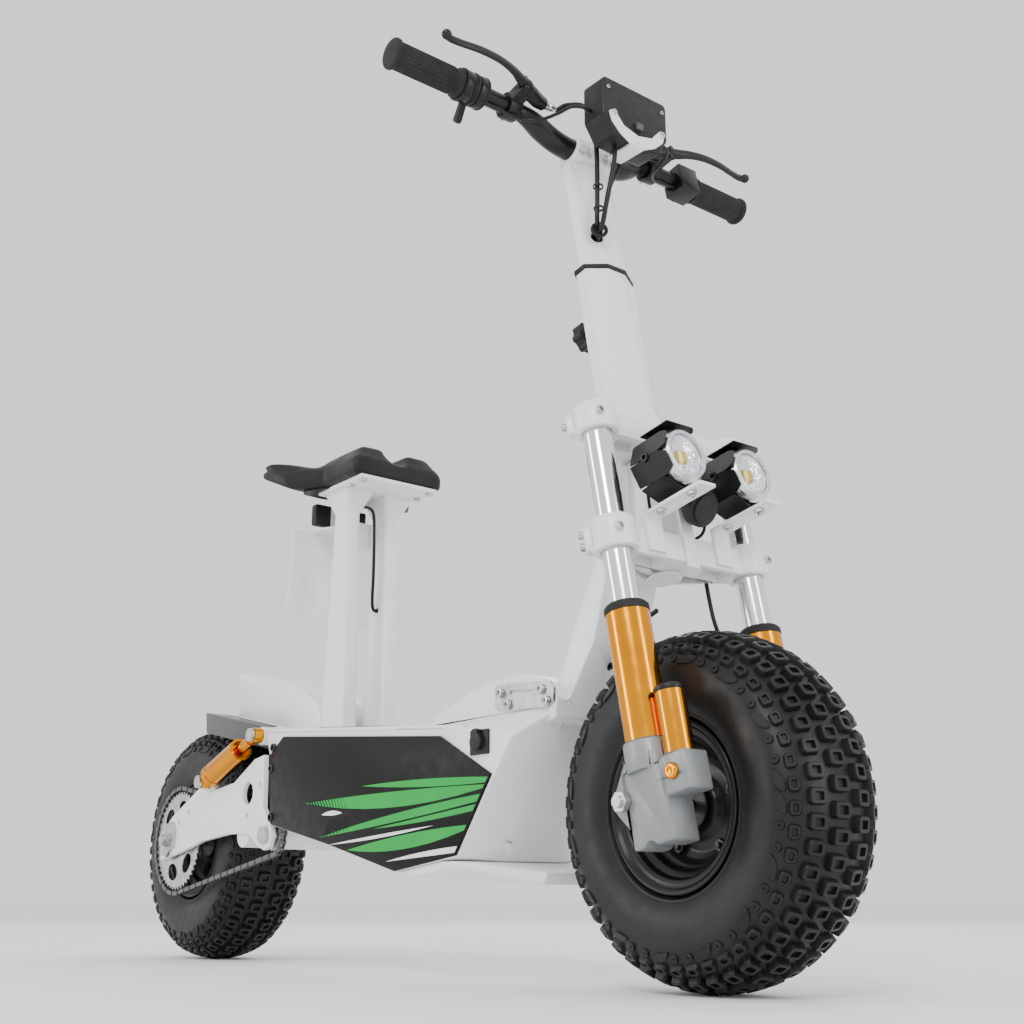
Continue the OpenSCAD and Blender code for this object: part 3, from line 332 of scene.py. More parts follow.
WHITE = powder_coat("white powder coat", (0.83, 0.84, 0.85), (0.79, 0.80, 0.815))
BLACK = gloss_black("black gloss paint")
PANEL = gloss_black("black side panel", 0.36, 0.004, 0.14)
# dark grey: the display plug's own colour, and painted shade on the mudguard
DARK_GREY_AND_MUDGUARD_SHADE = powder_coat("dark grey paint and painted mudguard shade", (0.05, 0.05, 0.053), (0.036, 0.036, 0.039), 0.45)
PLASTIC = moulded_plastic("black moulded plastic")
GOLD = anodised_gold()
CHROME = hard_chrome()
ZINC = zinc_steel()
CHAIN_STEEL = zinc_steel("oiled chain steel", 0.16, 0.36)
# black oxide steel for the bolts and nuts, also used as painted shade over the brake discs' drilled holes
BLACK_STEEL_AND_HOLE_SHADE = zinc_steel("black oxide steel and painted hole shade", 0.06, 0.4)
CASTING = grey_casting()
RUBBER = tyre_rubber()
GRIP = grip_rubber()
VINYL = saddle_vinyl()
SHEATH = cable_sheath()
GLASS = clear_glass()
REFLECTOR = bright_reflector()
TURNED = turned_aluminium()
GREEN = vinyl_stripe("green stripe", (0.01, 0.36, 0.055))
WHITE_STRIPE = vinyl_stripe("white stripe", (0.85, 0.86, 0.87))
RED_PLASTIC = vinyl_stripe("red plastic", (0.55, 0.02, 0.015))
YELLOW_PLASTIC = vinyl_stripe("yellow plastic", (0.75, 0.5, 0.02))
RED_LENS = vinyl_stripe("red lens", (0.42, 0.008, 0.012))
SCREEN = gloss_black("display screen", 0.12, 0.004)
EMITTER = vinyl_stripe("yellow emitter", (0.9, 0.62, 0.05))
SILVER = turned_aluminium()
SILVER.name = "silver fittings"
BATTERY_WRAP = moulded_plastic("battery wrap", 0.05, 0.4)


# ---- making and placing meshes ---------------------------------------------------

def new_piece(name, bm, materials, body, replaced=(), sharp=35):
    """A finished piece from bmesh: smooth faces, sharp at folds, riding on its body."""
    mesh = bpy.data.meshes.new(name)
    bm.to_mesh(mesh)
    bm.free()
    for material in materials if isinstance(materials, (list, tuple)) else [materials]:
        mesh.materials.append(material)
    mesh.polygons.foreach_set("use_smooth", [True] * len(mesh.polygons))
    mesh.set_sharp_from_angle(angle=math.radians(sharp))
    thing = add_object(name, mesh)
    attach(thing, body)
    if replaced:
        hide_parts(*replaced)
    return thing


def softened_copy(node, material, body, width):
    """A copy of a CAD node with its loose triangles joined and its edges rounded."""
    bm = bmesh.new()
    bm.from_mesh(nodes[node].data)
    bmesh.ops.remove_doubles(bm, verts=bm.verts, dist=0.00002)
    bmesh.ops.dissolve_limit(bm, angle_limit=math.radians(0.6), verts=bm.verts, edges=bm.edges,
                             delimit={"NORMAL"})
    mesh = bpy.data.meshes.new("copy")
    bm.to_mesh(mesh)
    bm.free()
    rough = add_object("copy", mesh)
    bevel = rough.modifiers.new("soft edges", "BEVEL")
    bevel.width = width * MM
    bevel.segments = 2
    bevel.limit_method = "ANGLE"
    bevel.angle_limit = math.radians(32)
    bevel.use_clamp_overlap = False
    bevel.miter_outer = "MITER_ARC"
    flat = applied(rough)
    bpy.data.objects.remove(rough)
    bm = bmesh.new()
    bm.from_mesh(flat)
    return new_piece(node + "_finish", bm, material, body, (node,), 30)


def bridge(bm, rings, caps=False):
    """Joins rings of as many points each with faces, and closes both ends if caps is set."""
    n = len(rings[0])
    for low, high in zip(rings, rings[1:]):
        for k in range(n):
            bm.faces.new([low[k], low[(k + 1) % n], high[(k + 1) % n], high[k]])
    if caps:
        bm.faces.new(list(reversed(rings[0])))
        bm.faces.new(rings[-1])


def lathe(profile, place, count=64, closed=False):
    """Spins (radius, height) points, in millimetres, round local Z of place."""
    bm = bmesh.new()
    rings = []
    for radius, height in profile:
        if radius < 0.01:
            rings.append([bm.verts.new(place @ at(0, 0, height))])
        else:
            rings.append([bm.verts.new(place @ at(radius * math.cos(2 * math.pi * k / count),
                                                  radius * math.sin(2 * math.pi * k / count), height))
                          for k in range(count)])
    pairs = list(zip(rings, rings[1:])) + ([(rings[-1], rings[0])] if closed else [])
    for low, high in pairs:
        for k in range(count):
            j = (k + 1) % count
            corners = [low[k % len(low)], low[j % len(low)], high[j % len(high)], high[k % len(high)]]
            corners = list(dict.fromkeys(corners))
            if len(corners) > 2:
                bm.faces.new(corners)
    bmesh.ops.recalc_face_normals(bm, faces=bm.faces)
    return bm


def eased(profile, radius=1.0, steps=3, closed=False):
    """Rounds the corners of a profile or outline."""
    out = []
    n = len(profile)
    for i, point in enumerate(profile):
        if not closed and i in (0, n - 1):
            out.append(point)
            continue
        p = Vector(point)
        a, b = Vector(profile[i - 1]) - p, Vector(profile[(i + 1) % n]) - p
        reach = min(radius, a.length * 0.45, b.length * 0.45)
        start, end = p + a.normalized() * reach, p + b.normalized() * reach
        for k in range(steps + 1):
            t = k / steps
            out.append(tuple(start * (1 - t) ** 2 + p * 2 * t * (1 - t) + end * t * t))
    return out


def washer(profile, ease, steps, place, count):
    """Spins a closed profile, its corners eased, round local Z of place."""
    return lathe(eased(profile, ease, steps, True), place, count, closed=True)


def merge(target, extra):
    """Adds the bmesh extra to target."""
    mesh = bpy.data.meshes.new("extra")
    extra.to_mesh(mesh)
    extra.free()
    target.from_mesh(mesh)
    bpy.data.meshes.remove(mesh)


def facing(origin, direction, up=(0, 0, 1)):
    """A place at origin whose local Z looks along direction."""
    z = Vector(direction).normalized()
    x = Vector(up).cross(z)
    x = x.normalized() if x.length > 1e-6 else Vector((1, 0, 0))
    y = z.cross(x)
    turn = Matrix((x, y, z)).transposed().to_4x4()
    return Matrix.Translation(Vector(origin)) @ turn


def smooth_path(points, per_span=6):
    """Catmull-Rom points through the given ones."""
    pts = [Vector(p) for p in points]
    pts = [pts[0] * 2 - pts[1]] + pts + [pts[-1] * 2 - pts[-2]]
    out = []
    for i in range(1, len(pts) - 2):
        a, b, c, d = pts[i - 1:i + 3]
        for k in range(per_span):
            t = k / per_span
            out.append(0.5 * ((2 * b) + (c - a) * t + (2 * a - 5 * b + 4 * c - d) * t * t
                              + (3 * b - a - 3 * c + d) * t ** 3))
    out.append(pts[-2])
    return out


def tube(points, radius, count=14, per_span=6, radii=None):
    """A closed round tube through points in metres; radius, or radii(0 to 1), in millimetres."""
    path = smooth_path(points, per_span)
    bm = bmesh.new()
    side = None
    rings = []
    for i, p in enumerate(path):
        ahead = (path[min(i + 1, len(path) - 1)] - path[max(i - 1, 0)]).normalized()
        if side is None:
            side = ahead.orthogonal().normalized()
        side = (side - ahead * side.dot(ahead)).normalized()
        other = ahead.cross(side)
        r = (radii(i / (len(path) - 1)) if radii else radius) * MM
        rings.append([bm.verts.new(p + r * (math.cos(2 * math.pi * k / count) * side
                                            + math.sin(2 * math.pi * k / count) * other))
                      for k in range(count)])
    bridge(bm, rings, True)
    return bm


def block(size, place, bevel=1.0, segments=3):
    bm = bmesh.new()
    bmesh.ops.create_cube(bm, size=1)
    bmesh.ops.scale(bm, vec=Vector(size) * MM, verts=bm.verts)
    if bevel:
        bmesh.ops.bevel(bm, geom=list(bm.edges), offset=bevel * MM, segments=segments, profile=0.5,
                        affect="EDGES")
    bmesh.ops.transform(bm, matrix=place, verts=bm.verts)
    return bm


def slab(outline, thick, place, bevel=0.8, segments=2):
    """A flat plate: outline in local X and Y, thickness along local Z from 0, in millimetres."""
    bm = bmesh.new()
    low = [bm.verts.new(at(x, y, 0)) for x, y in outline]
    high = [bm.verts.new(at(x, y, thick)) for x, y in outline]
    bm.faces.new(list(reversed(low)))
    top = bm.faces.new(high)
    n = len(outline)
    for k in range(n):
        bm.faces.new([low[k], low[(k + 1) % n], high[(k + 1) % n], high[k]])
    if bevel:
        bmesh.ops.bevel(bm, geom=list(top.edges), offset=bevel * MM, segments=segments, profile=0.5,
                        affect="EDGES", clamp_overlap=True)
    bmesh.ops.recalc_face_normals(bm, faces=bm.faces)
    bmesh.ops.transform(bm, matrix=place, verts=bm.verts)
    return bm


# ---- what repeats ----------------------------------------------------------------

def placing_tree():
    """Geometry Nodes that put one shape on every point, turned by the point's attribute."""
    tree = bpy.data.node_groups.new("shape on points", "GeometryNodeTree")
    face = tree.interface
    face.new_socket("Points", in_out="INPUT", socket_type="NodeSocketGeometry")
    face.new_socket("Shape", in_out="INPUT", socket_type="NodeSocketObject")
    face.new_socket("Finish", in_out="INPUT", socket_type="NodeSocketMaterial")
    face.new_socket("Result", in_out="OUTPUT", socket_type="NodeSocketGeometry")
    ends = tree.nodes.new("NodeGroupInput"), tree.nodes.new("NodeGroupOutput")
    shape = tree.nodes.new("GeometryNodeObjectInfo")
    turn = tree.nodes.new("GeometryNodeInputNamedAttribute")
    turn.data_type = "FLOAT_VECTOR"
    turn.inputs["Name"].default_value = "turn"
    euler = tree.nodes.new("FunctionNodeEulerToRotation")
    place = tree.nodes.new("GeometryNodeInstanceOnPoints")
    real = tree.nodes.new("GeometryNodeRealizeInstances")
    paint = tree.nodes.new("GeometryNodeSetMaterial")
    link = tree.links.new
    link(ends[0].outputs["Points"], place.inputs["Points"])
    link(ends[0].outputs["Shape"], shape.inputs["Object"])
    link(shape.outputs["Geometry"], place.inputs["Instance"])
    link(turn.outputs["Attribute"], euler.inputs[0])
    link(euler.outputs[0], place.inputs["Rotation"])
    link(place.outputs["Instances"], real.inputs["Geometry"])
    link(real.outputs["Geometry"], paint.inputs["Geometry"])
    link(ends[0].outputs["Finish"], paint.inputs["Material"])
    link(paint.outputs["Geometry"], ends[1].inputs["Result"])
    return tree


PLACING = placing_tree()


def repeated(name, shape, places, material, body, replaced=(), sharp=35):
    """One piece made of a shape put at each place, a matrix."""
    template_mesh = bpy.data.meshes.new("shape")
    shape.to_mesh(template_mesh)
    shape.free()
    template = add_object("shape", template_mesh)
    mesh = bpy.data.meshes.new("points")
    mesh.from_pydata([p.translation for p in places], [], [])
    turns = mesh.attributes.new("turn", "FLOAT_VECTOR", "POINT")
    for k, p in enumerate(places):
        turns.data[k].vector = p.to_euler("XYZ")
    holder = add_object("points", mesh)
    modifier = holder.modifiers.new("placing", "NODES")
    modifier.node_group = PLACING
    inputs = {item.name: item.identifier for item in PLACING.interface.items_tree
              if item.in_out == "INPUT"}
    modifier[inputs["Shape"]] = template
    modifier[inputs["Finish"]] = material
    result = applied(holder)
    bpy.data.objects.remove(holder)
    bpy.data.objects.remove(template)
    bm = bmesh.new()
    bm.from_mesh(result)
    return new_piece(name, bm, material, body, replaced, sharp)


def socket_screw(radius, height):
    """A cap screw head with its hexagon socket, standing on local Z = 0."""
    bm = lathe(eased([(0, -0.6), (radius, -0.6), (radius, height), (radius * 0.56, height)], 0.5, 2),
               Matrix(), 16)
    ring = [v for v in bm.verts if abs(v.co.z - height * MM) < 1e-6]
    rim = sorted([v for v in ring if abs(Vector((v.co.x, v.co.y)).length - radius * 0.56 * MM) < 1e-5],
                 key=lambda v: math.atan2(v.co.y, v.co.x))
    low = [bm.verts.new((v.co.x, v.co.y, (height - radius * 0.6) * MM)) for v in rim]
    n = len(rim)
    for k in range(n):
        bm.faces.new([rim[k], rim[(k + 1) % n], low[(k + 1) % n], low[k]])
    bm.faces.new(low)
    bmesh.ops.recalc_face_normals(bm, faces=bm.faces)
    return bm


def hexagon_nut(radius, height, hole):
    bm = bmesh.new()
    rings = []
    for r, h in ((radius * 0.9, 0), (radius, height * 0.12), (radius, height * 0.88),
                 (radius * 0.9, height)):
        rings.append([bm.verts.new(at(r * math.cos(math.pi * k / 3), r * math.sin(math.pi * k / 3), h))
                      for k in range(6)])
    bridge(bm, rings, True)
    stud = [(0, height), (hole, height), (hole, height + hole * 1.1), (0, height + hole * 1.2)]
    merge(bm, lathe(eased(stud, 0.6, 2), Matrix(), 16))
    return bm


# ---- wheels ----------------------------------------------------------------------

CARCASS_W = 66
CARCASS_H = 41
CARCASS_R = 132


def carcass_point(t):
    """A point (radius, side) of the tread curve at angle t from the crown, and its normal."""
    s, c = math.sin(t), math.cos(t)
    normal = Vector((c / CARCASS_H, s / CARCASS_W)).normalized()
    return Vector((CARCASS_R + CARCASS_H * c, CARCASS_W * s)), normal


def tread_block(length, width, height, wall, taper=1.2):
    """A hollow-topped rubber block: length round the tyre (X), width across it (Y)."""
    bm = bmesh.new()

    def ring(lx, ly, h, cut):
        x, y = lx / 2, ly / 2
        corners = [(x, y - cut), (x - cut, y), (-x + cut, y), (-x, y - cut),
                   (-x, -y + cut), (-x + cut, -y), (x - cut, -y), (x, -y + cut)]
        return [bm.verts.new(at(a, b, h)) for a, b in corners]

    rings = [ring(length + taper * 2, width + taper * 2, -3, 2.6), ring(length, width, height - 0.9, 2.2),
             ring(length - 1.2, width - 1.2, height, 2.0),
             ring(length - wall * 2, width - wall * 2, height, 1.0),
             ring(length - wall * 2 - 1, width - wall * 2 - 1, height * 0.45, 0.8)]
    bridge(bm, rings)
    bm.faces.new(rings[-1])
    return bm


def shark_fin():
    """The long curved rib between tread and side wall."""
    outline = [(-11, -5), (-4, -6), (5, -3.5), (11, 2), (13, 7), (6, 5.5), (-1, 5), (-8, 2)]
    return slab(eased(outline, 2, 2, True), 2.6, moved(0, 0, -1.2), 0.8, 1)


def tread_places(hub, angle, count, offset):
    """Places round the tyre at angle from the crown; local Z out of the rubber, X along the run."""
    spots = []
    for k in range(count):
        a = 2 * math.pi * (k + offset) / count
        point, normal = carcass_point(angle)
        outward = Vector((math.cos(a), 0, math.sin(a)))
        run = Vector((-math.sin(a), 0, math.cos(a)))
        z = outward * normal.x + Vector((0, 1, 0)) * normal.y
        y = z.cross(run)
        turn = Matrix((run, y, z)).transposed().to_4x4()
        spot = hub + (outward * point.x + Vector((0, point.y, 0))) * MM
        spots.append(Matrix.Translation(spot) @ turn)
    return spots


def make_tyre(name, hub, body, node):
    upper = [tuple(carcass_point(math.radians(a))[0]) for a in range(-90, 91, 6)]
    side = [(122, 66.6), (112, 66), (103, 63.6), (97, 60.8), (94, 58.9), (93, 59.4), (91, 58.8),
            (89.5, 56.5), (87.6, 53), (86.8, 49.4)]
    outer = [(r, -y) for r, y in reversed(side)] + upper + side
    inner = [(80.4, 48), (80.4, 44), (90, 44), (110, 55), (132, 58), (152, 50), (164, 34), (167, 0),
             (164, -34), (152, -50), (132, -58), (110, -55), (90, -44), (80.4, -44), (80.4, -48)]
    wheel = Matrix.Translation(hub) @ turned(90, "X")
    bm = lathe([(r, -y) for r, y in outer + inner], wheel, 144, closed=True)
    new_piece(name + "_carcass", bm, RUBBER, body, (node,), 40)
    rows = [
        (12.5, 46, 0.0, (15, 18, 7.0, 3.4)),
        (35, 46, 0.5, (14.5, 16, 7.0, 3.4)),
        (56, 46, 0.0, (13, 10.5, 4.6, 2.6)),
    ]
    for angle, count, offset, size in rows:
        spots = []
        for side_sign in (-1, 1):
            shift = offset if side_sign > 0 else offset + 0.5
            spots += tread_places(hub, math.radians(angle * side_sign), count, shift)
        repeated("%s_blocks_%d" % (name, angle), tread_block(*size), spots, RUBBER, body, sharp=25)
    small = []
    fins = []
    for side_sign in (-1, 1):
        around = tread_places(hub, math.radians(72 * side_sign), 46, 0.2 if side_sign > 0 else 0.7)
        for k, spot in enumerate(around):
            (fins if k % 3 == 0 else small).append(spot)
    repeated(name + "_side_blocks", tread_block(8, 8.5, 2.2, 2.6, 0.5), small, RUBBER, body, sharp=25)
    repeated(name + "_side_fins", shark_fin(), fins, RUBBER, body, sharp=25)


# (radius, height) from the bore over the dish and the flange to the well, one half of the rim
RIM_HALF = [(8.2, 30), (23, 30), (23, 24), (26, 20), (34, 15), (44, 13), (52, 17), (57, 25), (60, 27),
            (62.5, 30), (63.5, 38), (67, 41), (70, 43), (71.5, 50), (75, 52.5), (79, 53.5), (82, 57),
            (85, 58.5), (86.8, 57.6), (87, 55), (85.4, 49.4), (79.9, 49.2), (79.9, 38), (69, 30)]


def make_rim(name, hub, body, node):
    wheel = Matrix.Translation(hub) @ turned(90, "X")
    half = eased(RIM_HALF, 1.4, 3)
    other = [(r, -h) for r, h in reversed(half)]
    bm = lathe(half + other, wheel, 112, closed=True)
    new_piece(name + "_shell", bm, BLACK, body, (node,), 40)
    bolts = []
    for side in (-1, 1):
        for k in range(5):
            a = 2 * math.pi * (k + 0.25) / 5
            spot = hub + at(48 * math.cos(a), 14.4 * side, 48 * math.sin(a))
            bolts.append(facing(spot, (0, side, 0), (1, 0, 0)))
    repeated(name + "_wheel_nuts", hexagon_nut(7, 6, 3.2), bolts, BLACK_STEEL_AND_HOLE_SHADE, body)
    # valve stem in the dish, on the right
    round_rim = 2.4
    base = hub + at(66 * math.cos(round_rim), -40, 66 * math.sin(round_rim))
    inward = Vector((-math.cos(round_rim), -0.8, -math.sin(round_rim))).normalized()
    stem = lathe(eased([(0, -2), (5, -2), (5, 3), (3, 6), (3, 16), (3.8, 16), (3.8, 24), (0, 24)], 0.8, 2),
                 facing(base, inward), 20)
    new_piece(name + "_valve", stem, GRIP, body)


set_camera()
set_studio()

for side, hub, disc in (("front", FRONT_HUB, 69), ("rear", REAR_HUB, 74)):
    rim = side + "_rim"
    rider = side + "_wheel"
    make_tyre(side + "_tyre_skin", hub, rider, side + "_tyre")
    make_rim(rim + "_dish", hub, rider, rim)
    face = Matrix.Translation(hub) @ turned(-90, "X")
    plate = washer([(38, disc - 2), (72, disc - 2), (72, disc + 2), (38, disc + 2)], 0.4, 2, face, 96)
    new_piece(rim + "_brake_disc", plate, ZINC, rider)
    cone = washer([(22, 28), (30, 28), (41, disc - 4), (41, disc - 1.9), (22, disc - 1.9)], 1, 2, face, 64)
    new_piece(rim + "_disc_carrier", cone, BLACK, rider)
    # painted shade: dark rounds just proud of the disc, over its drilled holes, stand in for the shade
    # inside the holes
    marks = [facing(hub + at(56 * math.cos(a), disc + 1.6, 56 * math.sin(a)), (0, 1, 0))
             for a in [2 * math.pi * k / 12 for k in range(12)]]
    repeated(rim + "_disc_slots", lathe([(0, 0), (5.5, 0), (5.5, 0.6), (0, 0.6)], Matrix(), 24),
             marks, BLACK_STEEL_AND_HOLE_SHADE, rider)

# CAD nodes with softened edges: (finish, slot), then body, node and edge width
WHITE_PAINT = (WHITE, "white_paint")
BLACK_PAINT = (BLACK, "black_paint")
BLACK_PLASTIC = (PLASTIC, "black_plastic")
STEEL = (ZINC, "steel")
for node, (material, slot), body, width in (
        ("deck_box", WHITE_PAINT, "frame", 1.6),
        ("deck_lid", WHITE_PAINT, "frame", 1.2),
        ("side_panels", (PANEL, "black_paint"), "frame", 0.6),
        ("belly_cover", WHITE_PAINT, "frame", 1.6),
        ("neck", WHITE_PAINT, "frame", 2.0),
        ("rear_block", WHITE_PAINT, "frame", 1.2),
        # the mudguard's dark grey is painted shade: a dark plate where the white fender's underside lies in
        # shade
        ("mudguard", (DARK_GREY_AND_MUDGUARD_SHADE, "dark_paint"), "frame", 1.0),
        ("tail_fairing", WHITE_PAINT, "frame", 5.0),
        ("seat_posts", WHITE_PAINT, "frame", 1.5),
        ("plate_holder", WHITE_PAINT, "frame", 0.8),
        ("fork_crowns", WHITE_PAINT, "steering", 2.2),
        ("lower_column", WHITE_PAINT, "steering", 2.0),
        ("upper_column", WHITE_PAINT, "bar", 1.2),
        ("fork_castings", (CASTING, "cast"), "fork_lowers", 2.4),
        ("swing_arms", WHITE_PAINT, "swing_arm", 1.0),
        ("lamp_brackets", WHITE_PAINT, "steering", 0.6),
        ("lever_mounts", BLACK_PAINT, "bar", 1.2),
        ("thumb_throttle", BLACK_PLASTIC, "throttle", 1.2),
        ("display", BLACK_PLASTIC, "bar", 3.0),
        ("front_caliper", BLACK_PAINT, "fork_lowers", 1.6),
        ("rear_caliper", BLACK_PAINT, "swing_arm", 1.6),
        ("tail_lamp", BLACK_PLASTIC, "frame", 3.0),
        ("horn", BLACK_PLASTIC, "steering", 0.8),
        ("kickstand", BLACK_PAINT, "kickstand_leg", 0.8),
        ("charge_cap", BLACK_PLASTIC, "charge_flap", 0.5),
        ("charge_port", BLACK_PLASTIC, "frame", 0.6),
        ("rear_sprocket", STEEL, "rear_wheel", 0.3),
        ("drive_sprocket", STEEL, "drive_gear", 0.3)):
    softened_copy(node, material, body, width)

# CAD nodes that only take a finish
for node, material in {
        "frame_hardware": ZINC, "battery": BATTERY_WRAP, "motor": TURNED, "pivot_axle": ZINC,
        "steerer": ZINC, "stanchions": CHROME, "column_collar": PLASTIC, "crown_bolts": ZINC,
        "clamp_knob": PLASTIC, "horn_button": RED_PLASTIC, "light_button": YELLOW_PLASTIC,
        "fork_sliders": GOLD, "front_axle": ZINC, "rear_axle": ZINC, "shock_bodies": GOLD,
        "shock_rods": GOLD}.items():
    mesh = nodes[node].data
    mesh.materials.clear()
    mesh.materials.append(material)


# ---- bar, grips and levers --------------------------------------------------------

def ribbon(points, sections, up, count=20, per_span=6):
    """A closed bar through points in metres; sections are (half across, half up) in millimetres."""
    path = smooth_path(points, per_span)
    bm = bmesh.new()
    rings = []
    for i, p in enumerate(path):
        k = min(i // per_span, len(points) - 2)
        f = (i - k * per_span) / per_span
        a = sections[k][0] * (1 - f) + sections[k + 1][0] * f
        b = sections[k][1] * (1 - f) + sections[k + 1][1] * f
        ahead = (path[min(i + 1, len(path) - 1)] - path[max(i - 1, 0)]).normalized()
        side = Vector(up).cross(ahead).normalized()
        top = ahead.cross(side).normalized()
        ring = []
        for j in range(count):
            c, s = math.cos(2 * math.pi * j / count), math.sin(2 * math.pi * j / count)
            x = math.copysign(abs(c) ** 0.75, c) * a * MM
            y = math.copysign(abs(s) ** 0.75, s) * b * MM
            ring.append(bm.verts.new(p + side * x + top * y))
        rings.append(ring)
    bridge(bm, rings, True)
    bmesh.ops.recalc_face_normals(bm, faces=bm.faces)
    return bm


STEER_UP = STEER.to_3x3() @ Vector((0, 0, 1))
STEER_AHEAD = STEER.to_3x3() @ Vector((1, 0, 0))
LEVERS = ((-1, "right_lever", "lever_right"), (1, "left_lever", "lever_left"))


def bar_radius(share):
    """The bar swells between its bends; share runs from 0 to 1 along it."""
    return 11.3 + 3.2 * min(1, max(0, (0.33 - abs(share - 0.5)) / 0.1))


bend = [(0, BAR_W, 0), (0, BAR_W, 34), (-0.4, 565, 56), (-1.6, 575, 74), (-3, 587, 91), (GRIP_U, 592.6, 108),
        (GRIP_U, GRIP_W, 130), (GRIP_U, GRIP_W, 294)]
bar_points = [steer(u, -y, w) for u, w, y in reversed(bend)] + [steer(u, y, w) for u, w, y in bend[1:]]
new_piece("handlebar_tube", tube(bar_points, 0, 32, 8, bar_radius), BLACK, "bar", ("handlebar",))

whole_grips = bmesh.new()
for side in (-1, 1):
    start = facing(steer(GRIP_U, 200.6 * side, GRIP_W), (0, side, 0))
    bm = lathe(eased([(11.4, 0), (18.6, 0), (18.6, 4), (16, 5.5), (15.6, 9), (16.6, 12), (16.6, 88),
                      (15.4, 91), (19.2, 92.5), (19.2, 96.5), (17, 98.3), (0, 98.6)], 0.8, 2), start, 144)
    back = start.inverted()
    for v in bm.verts:
        local = back @ v.co
        h = local.z / MM
        if 11 < h < 90 and math.hypot(local.x, local.y) / MM > 14:
            angle = math.atan2(local.y, local.x)
            lift = 0.55 * math.cos(24 * angle) - 0.2
            out = Vector((local.x, local.y, 0)).normalized() * lift * MM
            v.co = start @ (local + out)
    merge(whole_grips, bm)
new_piece("ribbed_grips", whole_grips, GRIP, "bar", ("grips",), 50)

for side, rider, node in LEVERS:
    lever = ribbon([steer(u, y * side, w) for u, y, w in
                    [(35, 121, 597), (38, 134, 597), (45, 152, 598), (50, 176, 598.5), (51, 205, 598),
                     (48.5, 232, 597), (47.6, 248, 597), (50, 257, 597)]],
                   [(6.5, 6.2), (6.2, 6.2), (4.2, 5.6), (3.1, 5.6), (2.9, 5.4), (3.0, 5.0), (3.6, 4.8),
                    (4.2, 4.6)], STEER_UP)
    merge(lever, lathe([(0, -6.4), (3.6, -5.2), (5.6, -2.6), (6.2, 0), (5.6, 2.6), (3.6, 5.2), (0, 6.4)],
                       facing(steer(50.6, 256 * side, 597), STEER_UP), 24))
    new_piece(node + "_blade", lever, BLACK, rider, (node,), 40)
    perch = ribbon([steer(u, y * side, w) for u, y, w in
                    [(19, 84, 597), (21, 96, 597), (26, 110, 597), (33, 122, 597), (36, 131, 597)]],
                   [(7.5, 8), (9, 9), (9.5, 8.4), (7.5, 7.6), (5, 7.2)], STEER_UP)
    merge(perch, lathe(eased([(0, -9.6), (4, -9.6), (4, 9.6), (0, 9.6)], 0.6, 2),
                       facing(steer(36, 126 * side, 597), STEER_UP), 24))
    new_piece(node + "_perch", perch, BLACK, "bar")
    clamp = washer([(11.4, -9), (17, -9), (17, 9), (11.4, 9)], 1.5, 3,
                   facing(steer(GRIP_U, 121 * side, GRIP_W), (0, 1, 0)), 64)
    new_piece(node + "_band", clamp, BLACK, "bar")
    screws = [facing(steer(-21, 121 * side, GRIP_W + rise), -STEER_AHEAD) for rise in (5, -5)]
    repeated(node + "_band_screws", socket_screw(3.2, 2.6), screws, ZINC, "bar")
    adjuster = lathe(eased([(0, 0), (6.4, 0), (6.4, 5), (4.4, 5.6), (4.4, 7), (5.6, 7.6), (5.6, 15),
                            (3.6, 17), (3.6, 19), (0, 19)], 0.5, 2),
                     facing(steer(19.6, 84 * side, 597), (0, -side, 0)), 24)
    new_piece(node + "_adjuster", adjuster, SILVER, "bar", sharp=25)

housing_rings = bmesh.new()
for h in (-198.6, -182, -166.4):  # along the bar
    merge(housing_rings, washer([(12, -1.5), (20.6, -1.5), (20.6, 1.5), (12, 1.5)], 0.7, 2,
                                facing(steer(GRIP_U, h, GRIP_W), (0, 1, 0)), 64))
new_piece("throttle_rings", housing_rings, PLASTIC, "bar")
tips = [facing(steer(-22.2, -190, 600), -STEER_AHEAD), facing(steer(-22.2, -172, 600), -STEER_AHEAD)]
repeated("throttle_screws", socket_screw(2.4, 1.6), tips, ZINC, "bar")

# cords from the bar down into the column, and the throttle and switch wires to the display
SWITCH_ROUTE = [(4, 120, 571), (20, 100, 563), (46, 90, 558), (63, 82, 559), (69, 68, 560), (69, 54.9, 560)]
cords = bmesh.new()
for points, radius in (
        ([(20, -68, 597), (20, -62, 597.6), (27, -50, 605), (40, -32, 600), (42.5, -25.5, 565),
          (40, -25.5, 530), (34, -30, 475), (26, -31, 436), (20, -27, 428), (1, -16.5, 428)], 3.1),
        ([(20, 68, 597), (20, 62, 597.6), (27, 50, 605), (40, 32, 600), (42.5, 21.5, 565),
          (40, 14, 530), (34, -8, 485), (28, -21, 438), (23, -22, 429.5), (3, -11.5, 428)], 3.1),
        ([(65.6, -20, 522.2), (64, -22, 505), (52, -28, 465), (31, -29, 424), (22, -24.6, 421),
          (2.3, -13.8, 421)], 3.0),
        ([(-2, -164.7, 580), (-2, -158, 579)] + [(u, -y, w) for u, y, w in SWITCH_ROUTE], 2.2),
        ([(0, 162.7, 580), (0, 156, 579)] + SWITCH_ROUTE, 2.2)):
    merge(cords, tube([steer(*p) for p in points], radius, 14, 8))
new_piece("bar_cords", cords, SHEATH, "bar", ("bar_cables",), 60)
ties = bmesh.new()
for u, y, w, du, dy, dw, r in ((35, -29, 478, -4, -3, -35, 5.4), (29, -28.5, 449, -4, 0, -30, 5.2)):
    merge(ties, washer([(r, -1.4), (r + 1.2, -1.4), (r + 1.2, 1.4), (r, 1.4)], 0.3, 1,
                       facing(steer(u, y, w), steer(du, dy, dw) - steer(0, 0, 0)), 24))
new_piece("cord_ties", ties, PLASTIC, "bar")
grommet = washer([(6.5, -2), (11, -2), (11, 1.4), (6.5, 1.4)], 0.8, 2,
                 facing(steer(19.6, -23.6, 425), steer(0.88, -0.47, 0) - steer(0, 0, 0)), 40)
